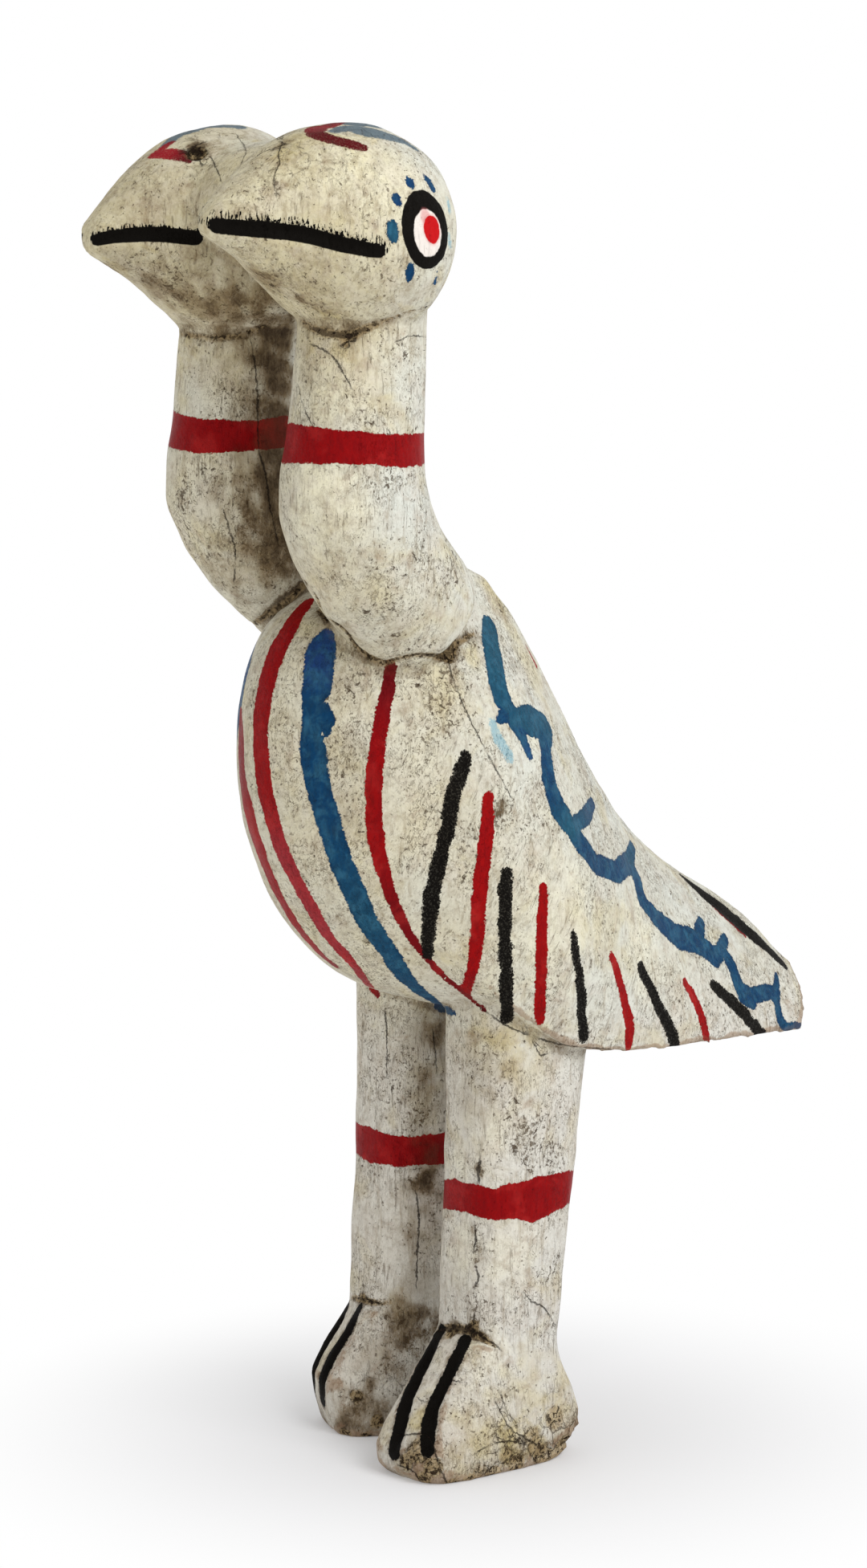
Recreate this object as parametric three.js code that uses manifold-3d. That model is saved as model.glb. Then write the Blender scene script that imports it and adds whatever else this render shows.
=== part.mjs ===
// Two-headed bird, carved from one block of wood and painted.
//
// Millimetres, +Z up. While it is drawn, X = 0 is the plane between the two halves, Y = 0 runs through
// the legs and Z = 0 is the ground. The beaks point to -Y, so +X is the bird's left. At the end the
// carving is moved so that its origin is the middle of the underside of its bounding box.

import * as THREE from 'three';
import { mergeVertices } from 'three/addons/utils/BufferGeometryUtils.js';
import Module from 'manifold-3d';

// Driving dimensions: the body, from the front of the breast to the tip of the tail.
// Each line is given as [y, height], or [y, half width], at the places where it bends.
const BREAST_FRONT = -113;
const TAIL_END = 188;
const TAIL_UNDERCUT = 14;
const UNDERCUT_START = 110;
const BACK_LINE = [
  [-113, 326], [-107, 364], [-92, 386], [-70, 397], [-40, 405], [-16, 407], [2, 398], [18, 376],
  [34, 350], [61, 307], [84, 281], [114, 258], [140, 243], [164, 226], [188, 203],
];
const BELLY_LINE = [
  [-113, 326], [-107, 288], [-94, 256], [-75, 231], [-52, 214], [-20, 202], [20, 192], [90, 187],
  [150, 183], [188, 179],
];
const HALF_WIDTH_LINE = [
  [-113, 0], [-108, 19], [-98, 35], [-84, 50], [-66, 62], [-45, 69], [-20, 72], [10, 71], [45, 67],
  [85, 59], [130, 47], [160, 39], [188, 32],
];
const WING_EDGE_HEIGHT_LINE = [
  [-60, 230], [-44, 216], [-7, 198], [29, 187], [60, 183], [110, 180], [150, 177], [188, 175],
];
const RIDGE_DROP_LINE = [[-113, 0], [20, 3], [60, 5], [114, 8], [150, 8], [188, 5]];
const RIDGE_HALF_WIDTH = 21;
const RIDGE_HALF_WIDTH_AT_TAIL = 12;
const WING_EDGE_INSET = 4;
const WING_EDGE_INSET_AT_TAIL = 1;
const TAIL_TAPER_START = 40;
const FLANK_BULGE_LINE = [[-113, 26], [0, 25], [50, 15], [110, 7], [188, 4]];
const FLANK_BULGE_SKEW = 0.25;
const UNDERSIDE_HOLLOW = 5;
const BELLY_FORM = 2.1;
const SHOULDER_FORM_LINE = [[-113, 2.1], [-75, 2.2], [-30, 2.9], [0, 2.6], [30, 2.2]];
const WING_FADE_IN = [-80, 15];
const BREAST_CAP = 1;
const BODY_SECTIONS = 30;
const BAND_STEPS = 3;
const FLANK_STEPS = 10;
const BELLY_STEPS = 5;

// The two necks: the same S-bend, one at each side of the middle.
const NECK_AXIS = [
  [47, -84, 530], [47, -87, 500], [46, -89, 465], [46, -90, 438], [44, -80, 416], [42, -66, 400],
  [39, -52, 386],
];
const NECK_RADII = [27.5, 28.5, 30, 33, 32.5, 31.5, 30];
const NECK_ROOT_DEPTH = 0.55;
const NECK_ROOT_RING_DEGREES = [25, 50, 72];
const NECK_ROOT_BACK_RIGHT = 4;
const NECK_BEND_HEIGHTS = [440, 400];
const NECK_SECTIONS = 12;
const NECK_SIDES = 20;

// The two heads, almond shaped. Each line is given as [y, millimetres], before the head is tilted.
const HEAD_TO_SIDE = 47;
const HEAD_BACK = -50;
const BEAK_TIP = -168;
const HEAD_TOP_LINE = [
  [-168, 557], [-165, 564], [-155, 573], [-142, 583], [-126, 593], [-108, 599], [-90, 600],
  [-72, 594], [-58, 580], [-50, 555],
];
const HEAD_BOTTOM_LINE = [
  [-168, 557], [-165, 552], [-155, 547], [-142, 539], [-128, 528], [-114, 517], [-98, 510],
  [-80, 509], [-60, 524], [-50, 555],
];
const HEAD_HALF_WIDTH_LINE = [
  [-168, 0], [-165, 7], [-155, 15], [-142, 23], [-126, 34], [-110, 43], [-92, 48], [-74, 46],
  [-58, 31], [-50, 0],
];
const WIDEST_HEAD = -92;
const HEAD_SECTIONS = 17;
const HEAD_SIDES = 26;
const HEAD_FORM = 2.15;
const BEAK_CAP = 0.4;
const SKULL_CAP = 0.6;
const HEAD_CENTRE_HEIGHT = 555;
const HEAD_TILT_LEFT = 0;
const HEAD_TILT_RIGHT = -6;
const HEAD_DROP_RIGHT = 3;
const JAW_DROP_RIGHT = 8;
const BRIDGE_MIDDLE = [0, -94, 565];
const BRIDGE_HALF_SIZE = [46, 39, 28];
const BRIDGE_SIDES = 24;
const BRIDGE_RINGS = 16;

// The mouths, black lines cut into both cheeks of each beak. Each line is given as [y, height], before
// the head is tilted.
const MOUTH_START = -165;
const MOUTH_END = -106;
const MOUTH_LINE_LEFT = [
  [-165, 557.5], [-150, 555.8], [-139, 554.7], [-130, 552.8], [-121, 549.8], [-106, 546.1],
];
const MOUTH_LINE_RIGHT = [[-165, 557.9], [-158, 558.9], [-145, 558.3], [-128, 554.7], [-106, 549]];
const MOUTH_WIDTH = 7.5;
const MOUTH_DEPTH = 3;
const MOUTH_SECTIONS = 12;
const MOUTH_LIMIT = 0.9;

// The legs and the feet, at each side of the middle. The rows run up from the ground: height,
// front, back, half width.
const LEG_TO_SIDE = 36;
const LEG_FORM = 2.8;
const LEG_ROWS = [
  [50, -31, 20, 23], [90, -30, 24, 24], [124, -28, 28, 24], [160, -27, 33, 24.5],
  [215, -27, 39, 25],
];
const FOOT_FORM = 4;
const LEFT_FOOT = {
  splay: 4,
  toSide: 37,
  grooves: [{ offset: -9.5, drift: 9 }, { offset: 8, drift: 9.5 }],
  rows: [
    [0, -61, 18, 23], [4, -65, 25, 24.5], [12, -66, 31, 25], [20, -62, 30, 24.5],
    [34, -52, 25, 23.5], [48, -41, 20, 22], [59, -33, 17, 21], [65, -22, 12, 17],
  ],
};
const RIGHT_FOOT = {
  splay: 18,
  toSide: 32,
  grooves: [{ offset: -8.5, drift: 0 }, { offset: 8.5, drift: 0 }],
  rows: [
    [0, -45, 20, 23], [4, -47, 25, 24], [14, -50, 30, 24], [25, -51, 29, 24], [36, -45, 25, 24],
    [48, -37, 19, 22.5], [58, -31, 16, 21], [64, -22, 12, 17],
  ],
};
const LEG_SIDES = 24;

// The toe grooves drift sideways near the ground. The line gives [height, share of the drift].
const TOE_GROOVE_WIDTH = 7;
const TOE_GROOVE_DEPTH = 4;
const TOE_GROOVE_ROWS = [2, 7];
const TOE_GROOVE_DRIFT_LINE = [[12, 1], [20, 0.8], [34, 0.15], [48, 0], [59, 0]];

// How far to either side of a groove the skin is looked at, to find the way it faces.
const PROBE = 1;

// How far the ends of a groove narrow, as a share of its full width and depth.
const GROOVE_END_TAPER = 0.25;

// How the sections of a form are spread: evenly, or crowded towards an end that is rounded off.
const EVEN = 0;
const CROWDED = 1;

// Points closer than this are one point, in millimetres.
const SAME_POINT = 1e-4;

const PAINTED_WOOD = { color: 0xded8c6, roughness: 0.55, metalness: 0 };

const wasm = await Module();
wasm.setup();

// Smooth line through the given [position, value] points, which never overshoots them.
function lineThrough(points) {
  const last = points.length - 1;
  const steps = points.slice(1).map((point, i) => point[0] - points[i][0]);
  const slopes = steps.map((step, i) => (points[i + 1][1] - points[i][1]) / step);
  const tangents = points.map((_, i) => {
    if (i === 0) return slopes[0];
    if (i === last) return slopes[last - 1];
    if (slopes[i - 1] * slopes[i] <= 0) return 0;
    return (2 * slopes[i - 1] * slopes[i]) / (slopes[i - 1] + slopes[i]);
  });
  return (position) => {
    if (position <= points[0][0]) return points[0][1];
    if (position >= points[last][0]) return points[last][1];
    const i = points.findIndex((point) => point[0] >= position) - 1;
    const t = (position - points[i][0]) / steps[i];
    const rise = t * t * (3 - 2 * t);
    const easeIn = t * (1 - t) * (1 - t) * steps[i] * tangents[i];
    const easeOut = t * t * (1 - t) * steps[i] * tangents[i + 1];
    return points[i][1] + rise * (points[i + 1][1] - points[i][1]) + easeIn - easeOut;
  };
}

function smoothStep(from, to, value) {
  const t = THREE.MathUtils.clamp((value - from) / (to - from), 0, 1);
  return t * t * (3 - 2 * t);
}

// Positions between two ends, closer together near the ends that are crowded.
function spreadSteps(from, to, count, atStart, atEnd) {
  return Array.from({ length: count + 1 }, (_, i) => {
    const t = i / count;
    const eased = 0.5 - 0.5 * Math.cos(Math.PI * t);
    const weight = THREE.MathUtils.lerp(atStart, atEnd, t);
    return THREE.MathUtils.lerp(from, to, THREE.MathUtils.lerp(t, eased, weight));
  });
}

// Closed skin over a row of rings with equally many points, each end closed by a fan.
function loft(rings) {
  const sides = rings[0].length;
  const positions = rings.flat().flatMap((point) => [point.x, point.y, point.z]);
  const index = [];
  for (let ring = 0; ring < rings.length - 1; ring += 1) {
    for (let side = 0; side < sides; side += 1) {
      const here = ring * sides + side;
      const beside = ring * sides + ((side + 1) % sides);
      index.push(here, beside, here + sides, beside, beside + sides, here + sides);
    }
  }
  for (const [ring, turn] of [[0, -1], [rings.length - 1, 1]]) {
    const middle = new THREE.Vector3();
    rings[ring].forEach((point) => middle.addScaledVector(point, 1 / sides));
    const hub = positions.length / 3;
    positions.push(middle.x, middle.y, middle.z);
    for (let side = 0; side < sides; side += 1) {
      const here = ring * sides + side;
      const beside = ring * sides + ((side + 1) % sides);
      index.push(...(turn > 0 ? [here, beside, hub] : [beside, here, hub]));
    }
  }
  const geometry = new THREE.BufferGeometry();
  geometry.setAttribute('position', new THREE.Float32BufferAttribute(positions, 3));
  geometry.setIndex(index);
  return geometry;
}

// Signed power, for the rounded squares of the sections.
function bend(value, power) {
  return Math.sign(value) * Math.abs(value) ** power;
}

function toSolid(geometry) {
  const bare = geometry.clone();
  bare.deleteAttribute('normal');
  bare.deleteAttribute('uv');
  const merged = mergeVertices(bare, SAME_POINT);
  return new wasm.Manifold(new wasm.Mesh({
    numProp: 3,
    vertProperties: new Float32Array(merged.attributes.position.array),
    triVerts: new Uint32Array(merged.index.array),
  }));
}

function toGeometry(solid) {
  const mesh = solid.getMesh();
  const geometry = new THREE.BufferGeometry();
  geometry.setAttribute('position', new THREE.BufferAttribute(mesh.vertProperties, 3));
  geometry.setIndex(new THREE.BufferAttribute(mesh.triVerts, 1));
  geometry.computeVertexNormals();
  return geometry;
}

// A ring of the body: round at the breast, and behind it a narrow back, two flat flanks and a sharp
// lower wing edge. Points run from the back's middle down the left side and up the right side.
const backHeight = lineThrough(BACK_LINE);
const bellyHeight = lineThrough(BELLY_LINE);
const bodyHalfWidth = lineThrough(HALF_WIDTH_LINE);
const wingEdgeHeight = lineThrough(WING_EDGE_HEIGHT_LINE);
const ridgeDrop = lineThrough(RIDGE_DROP_LINE);
const flankBulge = lineThrough(FLANK_BULGE_LINE);
const shoulderForm = lineThrough(SHOULDER_FORM_LINE);

function roundHalf(y) {
  const top = backHeight(y);
  const bottom = bellyHeight(y);
  const middle = (top + bottom) / 2;
  const steps = BAND_STEPS + FLANK_STEPS + BELLY_STEPS;
  return Array.from({ length: steps + 1 }, (_, i) => {
    const angle = (Math.PI * i) / steps;
    const power = angle < Math.PI / 2 ? 2 / shoulderForm(y) : 2 / BELLY_FORM;
    const across = bodyHalfWidth(y) * bend(Math.sin(angle), power);
    const up = (top - bottom) * 0.5 * bend(Math.cos(angle), power);
    return new THREE.Vector2(across, middle + up);
  });
}

function wingedHalf(y) {
  const toTail = smoothStep(TAIL_TAPER_START, TAIL_END, y);
  const ridgeX = THREE.MathUtils.lerp(RIDGE_HALF_WIDTH, RIDGE_HALF_WIDTH_AT_TAIL, toTail);
  const top = backHeight(y);
  const ridge = new THREE.Vector2(ridgeX, top - ridgeDrop(y));
  const inset = THREE.MathUtils.lerp(WING_EDGE_INSET, WING_EDGE_INSET_AT_TAIL, toTail);
  const edge = new THREE.Vector2(bodyHalfWidth(y) - inset, wingEdgeHeight(y));
  const belly = bellyHeight(y) + UNDERSIDE_HOLLOW * (1 - toTail);
  const outward = new THREE.Vector2(ridge.y - edge.y, edge.x - ridge.x).normalize();
  const points = [];
  for (let i = 0; i < BAND_STEPS; i += 1) {
    const t = i / BAND_STEPS;
    points.push(new THREE.Vector2(ridge.x * t, top - ridgeDrop(y) * t * t));
  }
  for (let i = 0; i < FLANK_STEPS; i += 1) {
    const t = i / FLANK_STEPS;
    const skew = 1 + FLANK_BULGE_SKEW * (2 * t - 1);
    const bulge = flankBulge(y) * 4 * t * (1 - t) * skew;
    points.push(ridge.clone().lerp(edge, t).addScaledVector(outward, bulge));
  }
  for (let i = 0; i <= BELLY_STEPS; i += 1) {
    const t = i / BELLY_STEPS;
    points.push(new THREE.Vector2(edge.x * (1 - t), edge.y + (belly - edge.y) * (1 - (1 - t) ** 2)));
  }
  return points;
}

function bodyRing(y) {
  const winged = smoothStep(WING_FADE_IN[0], WING_FADE_IN[1], y);
  const round = roundHalf(y);
  const half = wingedHalf(y).map((point, i) => round[i].clone().lerp(point, winged));
  const undercut = TAIL_UNDERCUT * smoothStep(UNDERCUT_START, TAIL_END, y);
  const tallness = backHeight(y) - wingEdgeHeight(y);
  const placed = (point, x) => {
    const down = THREE.MathUtils.clamp((backHeight(y) - point.y) / tallness, 0, 1);
    return new THREE.Vector3(x, y - undercut * down, point.y);
  };
  const left = half.map((point) => placed(point, point.x));
  const right = half.slice(1, -1).reverse().map((point) => placed(point, -point.x));
  return [...left, ...right];
}

function makeBody() {
  const places = spreadSteps(BREAST_FRONT + BREAST_CAP, TAIL_END, BODY_SECTIONS, CROWDED, EVEN);
  return toSolid(loft(places.map(bodyRing)));
}

// A neck: round rings along the bend, closed by a rounded root that swells out of the body.
function makeNeck(side) {
  const rootBack = side > 0 ? 0 : NECK_ROOT_BACK_RIGHT;
  const axis = new THREE.CatmullRomCurve3(NECK_AXIS.map(([x, y, z]) => (
    new THREE.Vector3(side * x, y + rootBack * smoothStep(...NECK_BEND_HEIGHTS, z), z)
  )));
  const radiusAt = lineThrough(NECK_RADII.map((radius, i) => [i / (NECK_RADII.length - 1), radius]));
  const across = new THREE.Vector3(1, 0, 0);
  const ringAt = (centre, tangent, radius) => {
    const outward = new THREE.Vector3().crossVectors(tangent, across).normalize();
    return Array.from({ length: NECK_SIDES }, (_, i) => {
      const angle = (2 * Math.PI * i) / NECK_SIDES;
      return centre.clone()
        .addScaledVector(across, radius * Math.cos(angle))
        .addScaledVector(outward, radius * Math.sin(angle));
    });
  };
  const rings = [];
  for (let i = 0; i <= NECK_SECTIONS; i += 1) {
    const t = i / NECK_SECTIONS;
    rings.push(ringAt(axis.getPoint(t), axis.getTangent(t), radiusAt(t)));
  }
  const end = axis.getPoint(1);
  const along = axis.getTangent(1);
  const radius = radiusAt(1);
  for (const angle of NECK_ROOT_RING_DEGREES.map(THREE.MathUtils.degToRad)) {
    const centre = end.clone().addScaledVector(along, radius * NECK_ROOT_DEPTH * Math.sin(angle));
    rings.push(ringAt(centre, along, radius * Math.cos(angle)));
  }
  return toSolid(loft(rings));
}

// A head: rounded square rings that swell from the beak's tip and close at the back of the skull.
const headTop = lineThrough(HEAD_TOP_LINE);
const headBottom = lineThrough(HEAD_BOTTOM_LINE);
const headHalfWidth = lineThrough(HEAD_HALF_WIDTH_LINE);

function headSpan(side, y) {
  const jawDrop = side > 0 ? 0 : JAW_DROP_RIGHT;
  const bottom = headBottom(y) - (jawDrop * headHalfWidth(y)) / headHalfWidth(WIDEST_HEAD);
  return { middle: (headTop(y) + bottom) / 2, halfHeight: (headTop(y) - bottom) / 2 };
}

function headPoint(side, y, angle) {
  const { middle, halfHeight } = headSpan(side, y);
  const power = 2 / HEAD_FORM;
  return new THREE.Vector3(
    headHalfWidth(y) * bend(Math.cos(angle), power),
    y,
    middle + halfHeight * bend(Math.sin(angle), power),
  );
}

// The head is drawn on the middle plane, then tilted about its own centre and moved to its side.
function placeHead(geometry, side) {
  const centre = new THREE.Vector3(0, (HEAD_BACK + BEAK_TIP) / 2, HEAD_CENTRE_HEIGHT);
  const tilt = side > 0 ? HEAD_TILT_LEFT : HEAD_TILT_RIGHT;
  const drop = side > 0 ? 0 : HEAD_DROP_RIGHT;
  geometry.translate(-centre.x, -centre.y, -centre.z);
  geometry.rotateX(THREE.MathUtils.degToRad(-tilt));
  geometry.translate(side * HEAD_TO_SIDE, centre.y, centre.z - drop);
  return geometry;
}

function makeHead(side) {
  const from = BEAK_TIP + BEAK_CAP;
  const to = HEAD_BACK - SKULL_CAP;
  const rings = spreadSteps(from, to, HEAD_SECTIONS, CROWDED, CROWDED).map((y) => (
    Array.from({ length: HEAD_SIDES }, (_, i) => headPoint(side, y, (-2 * Math.PI * i) / HEAD_SIDES))
  ));
  return toSolid(placeHead(loft(rings), side));
}

// The wood left standing between the two skulls.
function makeBridge() {
  const bridge = new THREE.SphereGeometry(1, BRIDGE_SIDES, BRIDGE_RINGS);
  bridge.scale(...BRIDGE_HALF_SIZE);
  bridge.translate(...BRIDGE_MIDDLE);
  return toSolid(bridge);
}

// A V-shaped groove along a path: four-sided rings that lie half in the wood, pointed at both ends.
function grooveAlong(path, outwards, width, depth) {
  const last = path.length - 1;
  const rings = path.map((point, i) => {
    const along = path[Math.min(i + 1, last)].clone().sub(path[Math.max(i - 1, 0)]).normalize();
    const outward = outwards[i].clone().addScaledVector(along, -outwards[i].dot(along)).normalize();
    const across = new THREE.Vector3().crossVectors(along, outward);
    const taper = i === 0 || i === last ? GROOVE_END_TAPER : 1;
    return [
      point.clone().addScaledVector(outward, -depth * taper),
      point.clone().addScaledVector(across, (-width / 2) * taper),
      point.clone().addScaledVector(outward, depth * taper),
      point.clone().addScaledVector(across, (width / 2) * taper),
    ];
  });
  return loft(rings);
}

const mouthHeightLeft = lineThrough(MOUTH_LINE_LEFT);
const mouthHeightRight = lineThrough(MOUTH_LINE_RIGHT);

// The angle of the head's ring at which its skin has the wanted height.
function mouthAngle(side, y) {
  const { middle, halfHeight } = headSpan(side, y);
  const height = side > 0 ? mouthHeightLeft(y) : mouthHeightRight(y);
  const share = (height - middle) / halfHeight;
  return Math.asin(bend(THREE.MathUtils.clamp(share, -MOUTH_LIMIT, MOUTH_LIMIT), HEAD_FORM / 2));
}

function makeMouth(side, cheek) {
  const places = spreadSteps(MOUTH_START, MOUTH_END, MOUTH_SECTIONS, CROWDED, EVEN);
  const path = places.map((y) => headPoint(side, y, mouthAngle(side, y)));
  const outwards = path.map((point, i) => {
    const before = path[Math.max(i - 1, 0)];
    const after = path[Math.min(i + 1, path.length - 1)];
    return new THREE.Vector3(after.y - before.y, before.x - after.x, 0).normalize();
  });
  const mirror = new THREE.Vector3(cheek, 1, 1);
  path.forEach((point) => point.multiply(mirror));
  outwards.forEach((outward) => outward.multiply(mirror));
  const groove = grooveAlong(path, outwards, MOUTH_WIDTH, MOUTH_DEPTH);
  return toSolid(placeHead(groove, side));
}

// Legs and feet: rounded square rings, one above the other.
function standingSolid(rows, form) {
  const power = 2 / form;
  const rings = rows.map(([height, front, back, halfWidth]) => (
    Array.from({ length: LEG_SIDES }, (_, i) => {
      const angle = (2 * Math.PI * i) / LEG_SIDES;
      return new THREE.Vector3(
        halfWidth * bend(Math.cos(angle), power),
        (front + back) / 2 + ((back - front) / 2) * bend(Math.sin(angle), power),
        height,
      );
    })
  ));
  return loft(rings);
}

// The toes are turned a little outwards.
function placeFoot(geometry, side) {
  const foot = side > 0 ? LEFT_FOOT : RIGHT_FOOT;
  geometry.rotateZ(THREE.MathUtils.degToRad(side * foot.splay));
  return geometry.translate(side * foot.toSide, 0, 0);
}

function makeLegAndFoot(side) {
  const leg = standingSolid(LEG_ROWS, LEG_FORM).translate(side * LEG_TO_SIDE, 0, 0);
  const foot = placeFoot(standingSolid((side > 0 ? LEFT_FOOT : RIGHT_FOOT).rows, FOOT_FORM), side);
  return toSolid(leg).add(toSolid(foot));
}

// A point on the front of a foot, in one of its rows, at a distance from the foot's middle.
function footFront([height, front, back, halfWidth], x) {
  const share = (1 - Math.abs(x / halfWidth) ** FOOT_FORM) ** (1 / FOOT_FORM);
  return new THREE.Vector3(x, (front + back) / 2 + ((front - back) / 2) * share, height);
}

// A toe groove follows the front of the foot from the ankle down to the tip.
const grooveDrift = lineThrough(TOE_GROOVE_DRIFT_LINE);

function makeToeGroove(side, foot, { offset, drift }) {
  const rows = foot.rows.slice(...TOE_GROOVE_ROWS).reverse();
  const places = rows.map(([height]) => offset + drift * grooveDrift(height));
  const path = rows.map((row, i) => footFront(row, places[i]));
  const outwards = path.map((_, i) => {
    const above = path[Math.max(i - 1, 0)];
    const below = path[Math.min(i + 1, path.length - 1)];
    const aside = footFront(rows[i], places[i] + PROBE).sub(footFront(rows[i], places[i] - PROBE));
    return below.clone().sub(above).cross(aside).normalize();
  });
  const groove = grooveAlong(path, outwards, TOE_GROOVE_WIDTH, TOE_GROOVE_DEPTH);
  return toSolid(placeFoot(groove, side));
}

function makeBird() {
  let bird = makeBody().add(makeBridge());
  for (const side of [1, -1]) {
    bird = bird.add(makeHead(side)).add(makeNeck(side)).add(makeLegAndFoot(side));
  }
  for (const side of [1, -1]) {
    for (const cheek of [1, -1]) bird = bird.subtract(makeMouth(side, cheek));
    const foot = side > 0 ? LEFT_FOOT : RIGHT_FOOT;
    for (const groove of foot.grooves) bird = bird.subtract(makeToeGroove(side, foot, groove));
  }
  return bird;
}

const geometry = toGeometry(makeBird());
geometry.computeBoundingBox();
const box = geometry.boundingBox;
const carvedBird = new THREE.Mesh(geometry, new THREE.MeshStandardMaterial(PAINTED_WOOD));
carvedBird.name = 'carved_bird';
carvedBird.position.set(-(box.min.x + box.max.x) / 2, -(box.min.y + box.max.y) / 2, -box.min.z);

const sculpture = new THREE.Group();
sculpture.add(carvedBird);

export default sculpture;
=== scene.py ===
import math

import bmesh
import bpy
import numpy as np
from mathutils import Matrix, Vector, noise as cloudy
from mathutils.bvhtree import BVHTree
from mathutils.kdtree import KDTree


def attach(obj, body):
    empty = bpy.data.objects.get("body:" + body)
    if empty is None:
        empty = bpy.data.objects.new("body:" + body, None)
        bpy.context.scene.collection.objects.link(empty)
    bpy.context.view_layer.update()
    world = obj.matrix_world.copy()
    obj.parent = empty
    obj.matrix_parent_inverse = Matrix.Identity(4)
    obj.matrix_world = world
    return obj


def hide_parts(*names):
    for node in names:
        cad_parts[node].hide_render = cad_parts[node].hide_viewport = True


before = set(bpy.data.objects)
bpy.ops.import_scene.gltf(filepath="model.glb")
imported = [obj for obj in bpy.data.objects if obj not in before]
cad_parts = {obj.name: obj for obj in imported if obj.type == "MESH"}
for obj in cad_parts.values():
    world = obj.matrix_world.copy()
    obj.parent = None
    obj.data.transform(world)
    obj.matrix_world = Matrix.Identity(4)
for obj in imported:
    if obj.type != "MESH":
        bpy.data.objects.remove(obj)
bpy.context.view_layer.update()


# The camera
# It stands to the bird's front left with a long lens, and looks a little down on it. It comes first,
# because the brush strokes are set out along its lines of sight.
PHOTO_WIDTH = 1080
PHOTO_HEIGHT = 1953
LENS_PIXELS = 5900
SENSOR_MM = 36
CAMERA_DISTANCE = 2.14
CAMERA_TARGET = Vector((-0.0074, -0.0208, 0.303))
CAMERA_TURN = math.radians(55)
CAMERA_TILT = math.radians(8.2)

look = Vector((
    -math.sin(CAMERA_TURN) * math.cos(CAMERA_TILT),
    math.cos(CAMERA_TURN) * math.cos(CAMERA_TILT),
    -math.sin(CAMERA_TILT),
))
rightwards = Vector((math.cos(CAMERA_TURN), math.sin(CAMERA_TURN), 0))
upwards = rightwards.cross(look)
eye_point = CAMERA_TARGET - look * CAMERA_DISTANCE

lens = bpy.data.cameras.new("camera")
lens.sensor_width = SENSOR_MM
lens.lens = LENS_PIXELS / PHOTO_HEIGHT * SENSOR_MM
camera = bpy.data.objects.new("camera", lens)
camera.matrix_world = Matrix.Translation(eye_point) @ Matrix(
    (rightwards, upwards, -look)
).transposed().to_4x4()
bpy.context.scene.collection.objects.link(camera)
bpy.context.scene.camera = camera


def line_of_sight(x, y):
    """The direction in which the camera sees a pixel of the photograph."""
    sideways = (x - PHOTO_WIDTH / 2) / LENS_PIXELS
    up = (PHOTO_HEIGHT / 2 - y) / LENS_PIXELS
    return (look + rightwards * sideways + upwards * up).normalized()


# The carving
# One block of wood, carved whole with its heads, necks, legs and feet. The knife's flats are worn
# round by handling, and the wing edges, mouths and toe grooves are still crisp.
FACE_SIZE = 0.00215
CRISP_FROM = math.radians(7)
CRISP_TO = math.radians(15)
WEAR_ROUNDS = 18
STEP_ROUNDS = 4
SMOOTHING = 0.5
UNSHRINK = -0.53
EDGE_ROUNDS = 1
JOIN_ROUNDS = 110
MERGE_WITHIN = 1e-6
BALL_CORE = 0.45
FOOT_TOP = 0.066
FOOT_WEAR = 0.3
SOFT_JOINS = [
    (Vector((0, -0.100, 0.575)), 0.048),
    (Vector((0, -0.085, 0.545)), 0.030),
    (Vector((0.050, -0.012, 0.385)), 0.034),
    (Vector((-0.050, -0.008, 0.385)), 0.034),
    (Vector((0.036, 0.020, 0.056)), 0.030),
    (Vector((-0.034, 0.020, 0.056)), 0.030),
    (Vector((0.062, -0.012, 0.058)), 0.016),
    (Vector((-0.060, -0.010, 0.058)), 0.016),
]


def settle(piece):
    """Turns a piece's modifiers into plain mesh."""
    depsgraph = bpy.context.evaluated_depsgraph_get()
    mesh = bpy.data.meshes.new_from_object(piece.evaluated_get(depsgraph))
    piece.modifiers.clear()
    piece.data = mesh


def read_points(mesh):
    flat = np.empty(len(mesh.vertices) * 3)
    mesh.vertices.foreach_get("co", flat)
    return flat.reshape(-1, 3)


def read_normals(mesh):
    flat = np.empty(len(mesh.vertices) * 3)
    mesh.vertex_normals.foreach_get("vector", flat)
    return flat.reshape(-1, 3)


def read_edges(mesh):
    flat = np.empty(len(mesh.edges) * 2, dtype=np.int64)
    mesh.edges.foreach_get("vertices", flat)
    return flat.reshape(-1, 2)


def neighbour_mean(values, edges):
    """The mean of each point's neighbours along the mesh's edges."""
    columns = values.reshape(len(values), -1)
    here = np.concatenate([edges[:, 0], edges[:, 1]])
    there = np.concatenate([edges[:, 1], edges[:, 0]])
    count = np.bincount(here, minlength=len(values))
    sums = [np.bincount(here, column[there], len(values)) for column in columns.T]
    return (np.stack(sums, 1) / count[:, None]).reshape(values.shape)


def soft_step(low, high, values):
    share = np.clip((values - low) / (high - low), 0, 1)
    return share * share * (3 - 2 * share)


def ball_share(points, centre, radius):
    """1 in the middle of a ball, falling softly to 0 at its skin."""
    share = np.linalg.norm(points - np.array(centre), axis=1) / radius
    return 1 - soft_step(BALL_CORE, 1, share)


carving = bpy.data.objects.new("painted_bird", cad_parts["carved_bird"].data.copy())
bpy.context.scene.collection.objects.link(carving)
shell = bmesh.new()
shell.from_mesh(carving.data)
bmesh.ops.remove_doubles(shell, verts=shell.verts, dist=MERGE_WITHIN)
shell.to_mesh(carving.data)
shell.free()
even_faces = carving.modifiers.new("even_faces", "REMESH")
even_faces.mode = "VOXEL"
even_faces.voxel_size = FACE_SIZE
even_faces.use_smooth_shade = True
to_the_form = carving.modifiers.new("to_the_form", "SHRINKWRAP")
to_the_form.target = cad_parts["carved_bird"]
to_the_form.wrap_method = "NEAREST_SURFACEPOINT"
settle(carving)

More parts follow.
